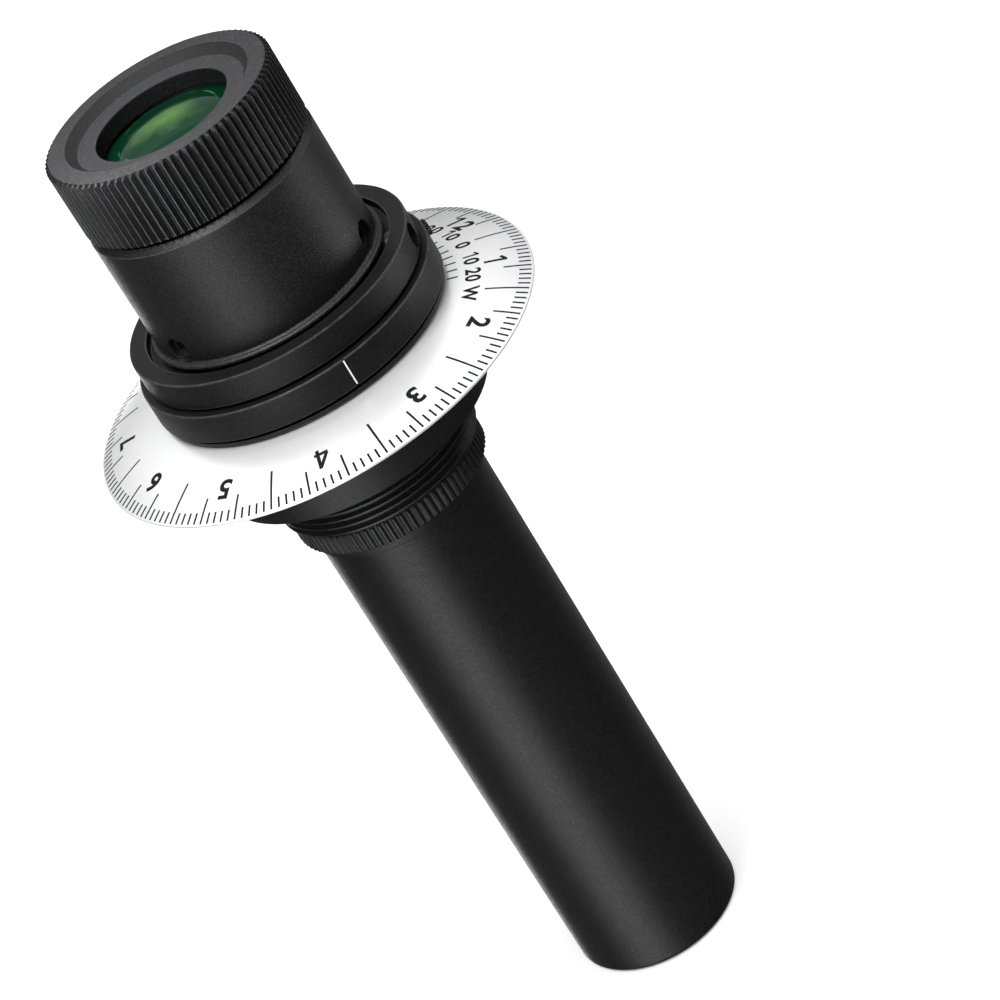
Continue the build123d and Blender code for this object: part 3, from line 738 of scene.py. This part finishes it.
def model_lock_ring():
    """The knurled ring that locks the tube, with its plain neck."""
    radius, bottom, top = span("tube_lock_ring")
    teeth, parts, depth = 84, 8, 0.4 * MM
    bore = span("objective_tube")[0] + settings().turning.fit
    knurl_bottom, neck = bottom + 1.55 * MM, radius - 1.1 * MM
    wall_bottom, wall_top = knurl_bottom + 0.3 * MM, top - 0.3 * MM
    break_, chamfer = 0.2 * MM, 0.35 * MM
    ring = turn("tube_lock_ring_body", [
        (bore, bottom), (neck - break_, bottom), (neck, bottom + break_), (neck, knurl_bottom - 0.3 * MM),
        (neck - break_, knurl_bottom), (radius - chamfer, knurl_bottom),
        (radius, wall_bottom), (radius, wall_top), (radius - chamfer, top), (bore, top),
    ], sides=teeth * parts)
    knurl(ring, teeth, parts, wall_bottom - TINY, wall_top + TINY, depth)
    return hand_in(smooth(ring, 50), "tube_lock_ring", "black_anodised", "anodised", "tube_lock_ring")


def dish(radius):
    """Height of the dial's dished face at a radius, on the circle through its three points."""
    sizes = settings().dial
    ax, az, bx, bz = sizes.seat, sizes.seat_height, sizes.middle, sizes.middle_height
    cx, cz = sizes.edge, sizes.edge_height
    d = 2 * (ax * (bz - cz) + bx * (cz - az) + cx * (az - bz))
    a2, b2, c2 = ax * ax + az * az, bx * bx + bz * bz, cx * cx + cz * cz
    x = (a2 * (bz - cz) + b2 * (cz - az) + c2 * (az - bz)) / d
    z = (a2 * (cx - bx) + b2 * (ax - cx) + c2 * (bx - ax)) / d
    return z + sqrt((ax - x) ** 2 + (az - z) ** 2 - (radius - x) ** 2)


def model_dial():
    """The dished dial plate."""
    sizes = settings().dial
    radius, _, top = span("date_dial")
    inner = settings().hub.neck + settings().turning.fit
    boss_bottom = settings().hub.flange_top + 0.3 * MM
    steps = 10
    rings = [sizes.seat + (sizes.edge - sizes.seat) * k / steps for k in range(steps + 1)]
    down = sizes.thickness
    upper = [(r, dish(r)) for r in rings]
    lower = [(r, dish(r) - down) for r in reversed(rings)]
    rim = sizes.edge_height
    plate = turn("date_dial_plate", [
        (inner, top), (sizes.seat - 0.6 * MM, top), *upper, (radius - 0.03 * MM, rim - 0.03 * MM),
        (radius, rim - 0.1 * MM), (radius, rim - down / 2), (radius - 0.2 * MM, rim - down), *lower[1:],
        (sizes.boss, boss_bottom), (inner, boss_bottom),
    ], sides=360)
    return hand_in(smooth(plate, 30), "date_dial", "dial_silver", "dial", "date_dial")


def flat_tick(inner, outer, width):
    """A flat printed line that lies along +X."""
    start()
    bpy.ops.mesh.primitive_plane_add(size=1)
    tick = named("tick")
    tick.scale = (outer - inner, width, 1)
    tick.location = ((inner + outer) / 2, 0, settings().dial.seat_height + DROP)
    bpy.ops.object.transform_apply(location=True, rotation=False, scale=True)
    bpy.ops.object.mode_set(mode="EDIT")
    bpy.ops.mesh.select_all(action="SELECT")
    bpy.ops.mesh.subdivide(number_cuts=3)
    bpy.ops.object.mode_set(mode="OBJECT")
    return tick


STROKES = {  # figures drawn as straight strokes, from point to point, in heights of the figure
    "1": [((0.1, 0.0), (0.1, 1.0)), ((0.1, 0.97), (-0.2, 0.74))],
    "4": [((0.12, 0.0), (0.12, 1.0)), ((0.12, 0.97), (-0.27, 0.28)), ((-0.31, 0.25), (0.28, 0.25))],
}


def stroked(lines, height, width):
    """A flat figure made of straight strokes."""
    bars = []
    for first, last in lines:
        first, last = Vector(first) * height, Vector(last) * height
        start()
        bpy.ops.mesh.primitive_plane_add(size=1)
        bar = named("bar")
        bar.scale = ((last - first).length, width, 1)
        bar.rotation_euler.z = atan2(last.y - first.y, last.x - first.x)
        bar.location = (*((first + last) / 2), 0)
        bpy.ops.object.transform_apply(location=True, rotation=True, scale=True)
        bars.append(bar)
    return join(bars, "figure")


def figure(character, height, width):
    """One flat character, its foot on the origin, its strokes thickened."""
    if character in STROKES:
        piece = stroked(STROKES[character], height + width / 2, width)
    else:
        start()
        bpy.ops.object.text_add()
        piece = named("figure")
        piece.data.body = character
        piece.data.size = height / 0.72
        piece.data.offset = width / 4
        piece.data.align_x = "CENTER"
        piece.data.resolution_u = 6
        bpy.ops.object.convert(target="MESH")
        piece = bpy.context.object
    take(piece)
    bpy.ops.object.mode_set(mode="EDIT")
    bpy.ops.mesh.select_all(action="SELECT")
    bpy.ops.mesh.subdivide(number_cuts=2)
    bpy.ops.object.mode_set(mode="OBJECT")
    return piece


def numeral(text, angle, type_):
    """Characters side by side round the dial, their tops outwards, their middle on an angle."""
    radius, height, stroke, pitch = type_
    lift, foot = settings().dial.seat_height + DROP, radius - height / 2
    wide = 1.1
    placed = []
    for count, character in enumerate(text):
        turned = angle - (count - (len(text) - 1) / 2) * pitch / radius
        c, s = cos(turned), sin(turned)
        rows = ((s * wide, c, 0, foot * c), (-c * wide, s, 0, foot * s), (0, 0, 1, lift), (0, 0, 0, 1))
        placed.append(place(figure(character, height, stroke), Matrix(rows)))
    return placed


def model_dial_marks():
    """The month scale, its numerals and the small east-west scale, printed on the dish."""
    sizes = settings().dial
    master = {name: flat_tick(getattr(sizes, f"{name}_tick"), sizes.tick_end, sizes.stroke)
              for name in ("long", "medium", "short")}
    master["inner"] = flat_tick(sizes.scale_start, sizes.scale_end, sizes.stroke)
    marks = []
    divisions = 15  # in a month
    for step in range(12 * divisions):
        kind = "long" if step % divisions == 0 else "medium" if step % 5 == 0 else "short"
        angle = sizes.first_month - step * tau / (12 * divisions)
        marks.append(copy_of(master[kind], Matrix.Rotation(angle, 4, "Z")))
    for step in range(-4, 5):
        angle = sizes.scale_centre + radians(5 * step)
        marks.append(copy_of(master["inner"], Matrix.Rotation(angle, 4, "Z")))
    for tick in master.values():
        bpy.data.objects.remove(tick)
    for month in range(1, 13):
        angle = sizes.first_month + radians(15.0 - 30.0 * month)
        marks += numeral(str(month), angle, MONTH_TYPE)
    for text, degrees in INNER_SCALE:
        marks += numeral(text, sizes.scale_centre + radians(degrees), SCALE_TYPE)
    print_ = join(marks, "date_dial_print")
    plate = bpy.data.objects["date_dial_plate"]
    modify(print_, "SHRINKWRAP", target=plate, wrap_method="PROJECT", use_project_z=True,
           use_negative_direction=True, use_positive_direction=False, offset=sizes.print_height)
    modify(print_, "SOLIDIFY", thickness=2 * sizes.print_height, offset=-1)
    return hand_in(print_, "date_dial", "dial_silver", "ink")


def plain_ring(name, node, bore, body, slot, look, edge=None):
    """A plain turned ring with broken edges in a node's place."""
    radius, bottom, top = span(node)
    ring = turn(name, [(bore, bottom), (radius, bottom), (radius, top), (bore, top)])
    break_edges(ring, edge)
    return hand_in(smooth(ring), body, slot, look, node)


def model_clamp_ring():
    """The thin ring that clamps the dial."""
    bore = settings().hub.neck + settings().turning.seat
    return plain_ring("dial_clamp_ring_body", "dial_clamp_ring", bore, "body", "black_inner", "anodised",
                      edge=0.12 * MM)


def model_index_ring():
    """The index ring, with the slot for its line and the hole of its lock screw."""
    radius, bottom, top = span("index_ring")
    bore = settings().hub.neck + settings().turning.fit
    chamfer, slot_width, slot_depth = 0.12 * MM, 0.2 * MM, 0.12 * MM
    ring = turn("index_ring_body", [
        (bore, bottom), (radius, bottom), (radius, top - chamfer), (radius - chamfer, top), (bore, top),
    ])
    break_edges(ring, 0.1 * MM)
    start()
    low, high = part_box("index_line")
    bpy.ops.mesh.primitive_cube_add(size=1)
    slot_cutter = named("line_slot")
    slot_cutter.scale = (slot_width, high.z - low.z + 2 * MM, 2 * slot_depth)
    bpy.ops.object.transform_apply(location=False, rotation=False, scale=True)
    cut(ring, place(slot_cutter, radial(INDEX_LINE, radius, (low.z + high.z) / 2)))
    angle, height = LOCK_SCREW
    drill(ring, angle, radius, height, hole=0.95 * MM, mouth=0.12 * MM, depth=4 * MM)
    # the index ring wears the darker copy of the black: painted shade
    return hand_in(smooth(ring), "index_ring", "black_anodised", "anodised ring painted darker", "index_ring")


def model_collar():
    """The collar above the index ring, recessed for the foot of the barrel."""
    radius, bottom, top = span("retaining_collar")
    bore = settings().hub.neck + settings().turning.seat
    recess, floor = radius - 2.4 * MM, top - 1.1 * MM
    collar = turn("retaining_collar_body", [
        (bore, bottom), (radius, bottom), (radius, top), (recess, top), (recess, floor), (bore, floor),
    ])
    break_edges(collar, 0.2 * MM)
    angle, height = COLLAR_SCREW
    drill(collar, angle, radius, height, hole=1.62 * MM, mouth=0.06 * MM, depth=4.2 * MM)
    # the collar wears the darker copy of the black: painted shade
    return hand_in(smooth(collar), "body", "black_anodised", "anodised ring painted darker", "retaining_collar")


def model_barrel():
    """The plain barrel with its lip, its chamfer and three screw holes."""
    sizes = settings().barrel
    lip_radius, bottom, top = span("reticle_housing")
    foot, lip = sizes.foot, sizes.foot + sizes.lip
    skirt = settings().hub.neck - settings().turning.seat
    break_, chamfer = 0.15 * MM, 0.22 * MM
    barrel = turn("reticle_barrel", [
        (sizes.bore, bottom), (skirt, bottom), (skirt, foot), (lip_radius - break_, foot),
        (lip_radius, foot + break_), (lip_radius, lip - 0.2 * MM), (lip_radius - chamfer, lip),
        (sizes.wall + chamfer, lip), (sizes.wall, lip + chamfer),
        (sizes.wall, top - sizes.chamfer), (sizes.wall - sizes.chamfer, top), (sizes.bore, top),
    ], sides=256)
    break_edges(barrel, 0.07 * MM)
    for angle in BARREL_SCREWS:
        drill(barrel, angle, sizes.wall, sizes.screw_height, sizes.screw_hole, mouth=0.14 * MM,
              depth=2.4 * MM)
    return hand_in(smooth(barrel), "body", "black_anodised", "anodised", "reticle_housing")


def set_screw(node, angle, outer, height, radius, socket, length):
    """A headless screw with a hexagon socket, its outer face at a radius."""
    chamfer = 0.25 * MM
    screw = turn(f"{node}_body", [
        (POLE, -length), (radius - chamfer, -length), (radius, -length + chamfer),
        (radius, -chamfer), (radius - chamfer, 0.0), (POLE, 0.0),
    ], sides=48)
    start()
    bpy.ops.mesh.primitive_cylinder_add(vertices=6, radius=socket / cos(pi / 6), depth=2.4 * MM)
    cut(screw, named("hexagon"))
    place(screw, radial(angle, outer, height))
    return hand_in(smooth(screw), node, "black_steel", "screw", node)


def model_set_screws():
    """The three reticle screws and the collar's screw."""
    barrel = settings().barrel
    face = barrel.wall - 0.75 * MM
    for k, angle in enumerate(BARREL_SCREWS, start=1):
        set_screw(f"reticle_screw_{k}", angle, face, barrel.screw_height,
                  radius=1.75 * MM, socket=1.0 * MM, length=2.4 * MM)
    face = span("retaining_collar")[0] - 0.9 * MM
    angle, height = COLLAR_SCREW
    set_screw("collar_set_screw", angle, face, height, radius=1.6 * MM, socket=0.9 * MM, length=3.8 * MM)


def model_lock_screw():
    """The small knurled screw that locks the index ring, slotted for a coin."""
    angle, height = LOCK_SCREW
    ring = span("index_ring")[0]
    teeth, parts = 18, 8
    head, tall, shank, length = 1.15 * MM, 0.55 * MM, 0.88 * MM, 5.4 * MM
    screw = turn("index_lock_screw_body", [
        (POLE, -length), (shank, -length), (shank, 0.0), (head - 0.1 * MM, 0.0), (head, 0.12 * MM),
        (head, tall - 0.15 * MM), (head - 0.15 * MM, tall), (POLE, tall),
    ], sides=teeth * parts)
    knurl(screw, teeth, parts, 0.11 * MM, tall - 0.14 * MM, depth=0.25 * MM)
    start()
    bpy.ops.mesh.primitive_cube_add(size=1, location=(0, 0, tall))
    slot_cutter = named("coin_slot")
    slot_cutter.scale = (0.35 * MM, 4 * head, 0.6 * MM)
    bpy.ops.object.transform_apply(location=True, rotation=False, scale=True)
    cut(screw, slot_cutter)
    place(screw, radial(angle, ring + 0.1 * MM, height))
    return hand_in(smooth(screw, 40), "index_lock_screw", "black_steel", "screw", "index_lock_screw")


def model_eyepiece():
    """The knurled head with its stepped face, and the sleeve inside the barrel."""
    sizes = settings().eyepiece
    radius, bottom, top = span("eyepiece_ring")
    head, floor, parts = sizes.head_bottom, sizes.floor_height, 8
    break_ = 0.22 * MM
    others = ("matte face painted lighter", "inner", "edge", "bore")
    marks = {name: count for count, name in enumerate(others, start=1)}
    sleeve = settings().barrel.bore - settings().turning.fit
    eyepiece = turn("eyepiece_head", [
        (sizes.bore, bottom), (sleeve - 0.2 * MM, bottom), (sleeve, bottom + 0.2 * MM), (sleeve, head),
        (radius - 0.6 * MM, head), (radius - 0.45 * MM, head + 0.04 * MM),
        (radius, head + break_), (radius, top - 0.36 * MM), (radius - 0.58 * MM, top - 0.03 * MM),
        (radius - 0.68 * MM, top), (sizes.recess + 0.08 * MM, top), (sizes.recess, top - 0.05 * MM),
        (sizes.floor + 0.05 * MM, floor + 0.04 * MM), (sizes.floor - 0.05 * MM, floor),
        (sizes.mouth + 0.22 * MM, floor - 0.12 * MM), (sizes.mouth + 0.06 * MM, floor - 0.17 * MM),
        (sizes.mouth, floor - 0.28 * MM), (sizes.mouth, sizes.mouth_bottom),
        (sizes.bore, sizes.mouth_bottom - 0.05 * MM),
    ], sides=sizes.teeth * parts)
    knurl(eyepiece, sizes.teeth, parts, head + break_ - TINY, top - 0.35 * MM, sizes.depth, marks["edge"])
    smooth(eyepiece, 40)
    for face in eyepiece.data.polygons:
        away, height, upward = face.center.xy.length, face.center.z, face.normal.z
        # the recess wall wears the darker inner finish: painted shade in the recess
        if away < sizes.recess and 0.2 < upward < 0.9:
            face.material_index = marks["inner"]
        # the flat face wears the blasted matte finish, painted lighter
        elif upward > 0.9 and height > floor - 0.2 * MM:
            face.material_index = marks["matte face painted lighter"]
        # the wall round the eye lens wears the near-black bore finish: painted shade
        elif away < sizes.mouth + 0.02 * MM and height > sizes.mouth_bottom:
            face.material_index = marks["bore"]
    # the head wears the darker copy of the black: painted shade
    return hand_in(eyepiece, "eyepiece", "black_anodised", "anodised ring painted darker", "eyepiece_ring",
                   others=others)


def dome_points(radius, edge, rise, steps=12):
    """Points over a spherical cap, from its edge to the pole."""
    big = (radius * radius + rise * rise) / (2 * rise)
    points = []
    for k in range(steps + 1):
        r = max(radius * (1 - k / steps), POLE)
        points.append((r, edge + sqrt(big * big - r * r) - (big - rise)))
    return points


def model_lens(name, node, body, thick_edge, upward):
    """A polished lens in a node's place, domed on one side."""
    radius, bottom, top = span(node)
    rise = top - bottom - thick_edge
    if upward:
        outline = [(POLE, bottom), (radius, bottom), *dome_points(radius, top - rise, rise)]
    else:
        flipped = [(r, bottom + top - z) for r, z in dome_points(radius, top - rise, rise)]
        outline = [(POLE, top), (radius, top), *flipped]
    lens = turn(name, outline, sides=128)
    return hand_in(smooth(lens, 40), body, "coated_glass", "coated", node)


def model_lenses():
    """The eye lens and the front of the objective."""
    model_lens("eye_lens_glass", "eye_lens", "eyepiece", thick_edge=1.85 * MM, upward=True)
    model_lens("objective_crown_glass", "objective_crown_lens", "objective_tube", thick_edge=2.4 * MM,
               upward=False)


def dress_frame():
    """Finishes for the CAD pieces that stay."""
    looks = {
        "black_inner": "inner", "white_fill": "line", "brass_cell": "brass", "washer_fibre": "fibre",
        "seal_rubber": "rubber", "clear_glass": "clear",
    }
    for part in frame["record"]["subparts"]:
        look = looks.get(part["material_slot"])
        if look:
            mesh = frame["nodes"][part["node"]].data
            mesh.materials.clear()
            mesh.materials.append(FINISHES[look])


# ---------------------------------------------------------------- studio
PANELS = {  # azimuth, elevation, distance, size, the setting with its power, and what it is aimed at
    "key_panel": (-100, 78, 0.9, (0.9, 0.9), "key", "middle"),
    "near_panel": (-120, 50, 0.1, (0.05, 0.05), "near", "head"),
    "left_strip": (-125, -28, 0.5, (0.34, 0.42), "strip", "middle"),
    "face_panel": (-132, 32, 0.029, (0.012, 0.012), "face", "head"),
    "right_card": (-2, -26, 0.15, (0.06, 0.04), "side", "waist"),
    "back_strip": (100, -22, 0.5, (0.3, 0.4), "back_strip", "middle"),
    "glint_panel": (20, 30, 0.4, (0.12, 0.12), "glint", "head"),
    "back_panel": (90, 32, 1.0, (0.9, 0.6), "back", "middle"),
}


def area_light(name, azimuth, elevation, distance, size, power, target):
    """A soft panel at an azimuth and elevation, aimed at a point."""
    a, e = radians(azimuth), radians(elevation)
    towards = Vector((cos(a) * cos(e), sin(a) * cos(e), sin(e)))
    start()
    bpy.ops.object.light_add(type="AREA", location=target + towards * distance)
    light = named(name)
    light.rotation_euler = towards.to_track_quat("Z", "Y").to_euler()
    light.data.shape = "RECTANGLE"
    light.data.size, light.data.size_y = size
    light.data.energy = power
    light.visible_camera = False


def shine_on(light, *names):
    """Let a light reach some pieces only."""
    receivers = bpy.data.collections.new(f"{light}_receivers")
    for name in names:
        receivers.objects.link(bpy.data.objects[name])
    bpy.data.objects[light].light_linking.receiver_collection = receivers


def model_studio():
    """A pale floor, soft panels and the camera."""
    look = settings().studio
    low, high = CAD_BOX
    middle = (low + high) / 2
    start()
    bpy.ops.mesh.primitive_plane_add(size=12.0, location=(0, 0, low.z))
    floor = named("studio_floor")
    material, tree, principled = finish("pale floor", Roughness=0.9)
    mottle = noise(tree, place_socket(tree), 4.0)
    pale = look.floor
    tone = blend(tree, remap(tree, mottle, 0.3, 0.7, 0, 1), opaque([c * 0.985 for c in pale]), opaque(pale))
    tree.links.new(tone, principled.inputs["Base Color"])
    principled.inputs["Emission Color"].default_value = (1, 1, 1, 1)
    principled.inputs["Emission Strength"].default_value = look.table
    floor.data.materials.append(material)
    floor.visible_glossy = False  # the gloss of the black walls sees the panels and the dim room instead
    floor.visible_shadow = False  # the low panels shine up through the floor, as through a light table
    head = Vector((0, 0, high.z))
    aims = {"middle": middle, "waist": (middle + head) / 2, "head": head}
    for name, (azimuth, elevation, distance, size, power, aim) in PANELS.items():
        area_light(name, azimuth, elevation, distance, size, getattr(look, power), aims[aim])
    shine_on("right_card", "eyepiece_head", "reticle_barrel", "retaining_collar_body", "index_ring_body")
    shine_on("face_panel", "eyepiece_head")
    world = bpy.data.worlds.new("studio_room")
    bpy.context.scene.world = world
    world.use_nodes = True
    tree = world.node_tree
    way = add(tree, "SeparateXYZ", {"Vector": add(tree, "TexCoord").outputs["Generated"]}).outputs
    ceiling = remap(tree, way["Z"], 0.55, 0.9, look.surround, look.dome)
    behind = remap(tree, way["Y"], 0.3, 0.95, 0, look.rim)
    behind = multiply(tree, behind, remap(tree, way["Z"], -0.25, 0, 1, 0))
    room = add(tree, "Math", {0: ceiling, 1: behind}, operation="ADD").outputs[0]
    seen = add(tree, "LightPath").outputs["Is Camera Ray"]  # past the floor's end the eye sees plain white
    room = add(tree, "Math", {0: room, 1: seen}, operation="MAXIMUM").outputs[0]
    tree.nodes["Background"].inputs["Color"].default_value = (1, 1, 1, 1)
    tree.links.new(room, tree.nodes["Background"].inputs["Strength"])
    start()
    bpy.ops.object.camera_add()
    camera = named("studio_camera")
    down = Matrix.Rotation(pi / 2 - look.pitch, 4, "X")
    camera.matrix_world = Matrix.Translation(look.camera) @ down @ Matrix.Rotation(look.roll, 4, "Z")
    camera.data.lens = look.lens
    camera.data.sensor_width = 36
    camera.data.clip_start = 0.01
    bpy.context.scene.camera = camera
    bpy.context.scene.view_settings.view_transform = "Standard"


# ---------------------------------------------------------------- operators and panel
class SCOPE_OT_finishes(bpy.types.Operator):
    """Make every finish"""
    bl_idname = "scope.finishes"
    bl_label = "Finishes"

    def execute(self, context):
        make_finishes()
        return {"FINISHED"}


class SCOPE_OT_hub(bpy.types.Operator):
    """Model the hub with its helical mounting thread"""
    bl_idname = "scope.hub"
    bl_label = "Hub"

    def execute(self, context):
        model_hub()
        return {"FINISHED"}


class SCOPE_OT_tube(bpy.types.Operator):
    """Model the objective tube"""
    bl_idname = "scope.tube"
    bl_label = "Objective tube"

    def execute(self, context):
        model_tube()
        return {"FINISHED"}


class SCOPE_OT_lock_ring(bpy.types.Operator):
    """Model the knurled lock ring"""
    bl_idname = "scope.lock_ring"
    bl_label = "Tube lock ring"

    def execute(self, context):
        model_lock_ring()
        return {"FINISHED"}


class SCOPE_OT_dial(bpy.types.Operator):
    """Model the dished dial plate"""
    bl_idname = "scope.dial"
    bl_label = "Date dial"

    def execute(self, context):
        model_dial()
        return {"FINISHED"}


class SCOPE_OT_dial_marks(bpy.types.Operator):
    """Print the scales and numerals on the dial"""
    bl_idname = "scope.dial_marks"
    bl_label = "Dial marks"

    def execute(self, context):
        model_dial_marks()
        return {"FINISHED"}


class SCOPE_OT_clamp_ring(bpy.types.Operator):
    """Model the ring that clamps the dial"""
    bl_idname = "scope.clamp_ring"
    bl_label = "Dial clamp ring"

    def execute(self, context):
        model_clamp_ring()
        return {"FINISHED"}


class SCOPE_OT_index_ring(bpy.types.Operator):
    """Model the index ring with its slot and screw hole"""
    bl_idname = "scope.index_ring"
    bl_label = "Index ring"

    def execute(self, context):
        model_index_ring()
        return {"FINISHED"}


class SCOPE_OT_collar(bpy.types.Operator):
    """Model the retaining collar"""
    bl_idname = "scope.collar"
    bl_label = "Retaining collar"

    def execute(self, context):
        model_collar()
        return {"FINISHED"}


class SCOPE_OT_barrel(bpy.types.Operator):
    """Model the barrel with its screw holes"""
    bl_idname = "scope.barrel"
    bl_label = "Reticle barrel"

    def execute(self, context):
        model_barrel()
        return {"FINISHED"}


class SCOPE_OT_set_screws(bpy.types.Operator):
    """Model the socket set screws"""
    bl_idname = "scope.set_screws"
    bl_label = "Set screws"

    def execute(self, context):
        model_set_screws()
        return {"FINISHED"}


class SCOPE_OT_lock_screw(bpy.types.Operator):
    """Model the knurled lock screw"""
    bl_idname = "scope.lock_screw"
    bl_label = "Index lock screw"

    def execute(self, context):
        model_lock_screw()
        return {"FINISHED"}


class SCOPE_OT_eyepiece(bpy.types.Operator):
    """Model the knurled eyepiece head and its sleeve"""
    bl_idname = "scope.eyepiece"
    bl_label = "Eyepiece head"

    def execute(self, context):
        model_eyepiece()
        return {"FINISHED"}


class SCOPE_OT_lenses(bpy.types.Operator):
    """Model the lenses that can be seen"""
    bl_idname = "scope.lenses"
    bl_label = "Lenses"

    def execute(self, context):
        model_lenses()
        return {"FINISHED"}


class SCOPE_OT_inner(bpy.types.Operator):
    """Dress the inner pieces of the frame"""
    bl_idname = "scope.inner"
    bl_label = "Inner pieces"

    def execute(self, context):
        dress_frame()
        return {"FINISHED"}


class SCOPE_OT_studio(bpy.types.Operator):
    """Set the floor, the lights and the camera"""
    bl_idname = "scope.studio"
    bl_label = "Studio"

    def execute(self, context):
        model_studio()
        return {"FINISHED"}


STEPS = [
    SCOPE_OT_finishes,
    SCOPE_OT_hub,
    SCOPE_OT_tube,
    SCOPE_OT_lock_ring,
    SCOPE_OT_dial,
    SCOPE_OT_dial_marks,
    SCOPE_OT_clamp_ring,
    SCOPE_OT_index_ring,
    SCOPE_OT_collar,
    SCOPE_OT_barrel,
    SCOPE_OT_set_screws,
    SCOPE_OT_lock_screw,
    SCOPE_OT_eyepiece,
    SCOPE_OT_lenses,
    SCOPE_OT_inner,
    SCOPE_OT_studio,
]


class SCOPE_PT_panel(bpy.types.Panel):
    """Settings and steps of the finder scope."""
    bl_label = "Polar finder scope"
    bl_idname = "SCOPE_PT_panel"
    bl_space_type = "VIEW_3D"
    bl_region_type = "UI"
    bl_category = "Scope"

    def draw(self, context):
        for key, group in GROUPS.items():
            box = self.layout.box()
            box.label(text=key.title())
            for name in group.__annotations__:
                box.prop(getattr(context.scene.scope, key), name)
        for step in STEPS:
            self.layout.operator(step.bl_idname)


CLASSES = [*GROUPS.values(), ScopeSettings, *STEPS, SCOPE_PT_panel]


def register():
    for item in CLASSES:
        bpy.utils.register_class(item)
    bpy.types.Scene.scope = PointerProperty(type=ScopeSettings)


def unregister():
    del bpy.types.Scene.scope
    for item in reversed(CLASSES):
        bpy.utils.unregister_class(item)


def main():
    register()
    for step in STEPS:
        getattr(bpy.ops.scope, step.bl_idname.split(".")[1])()
    start()


if __name__ == "__main__":
    main()
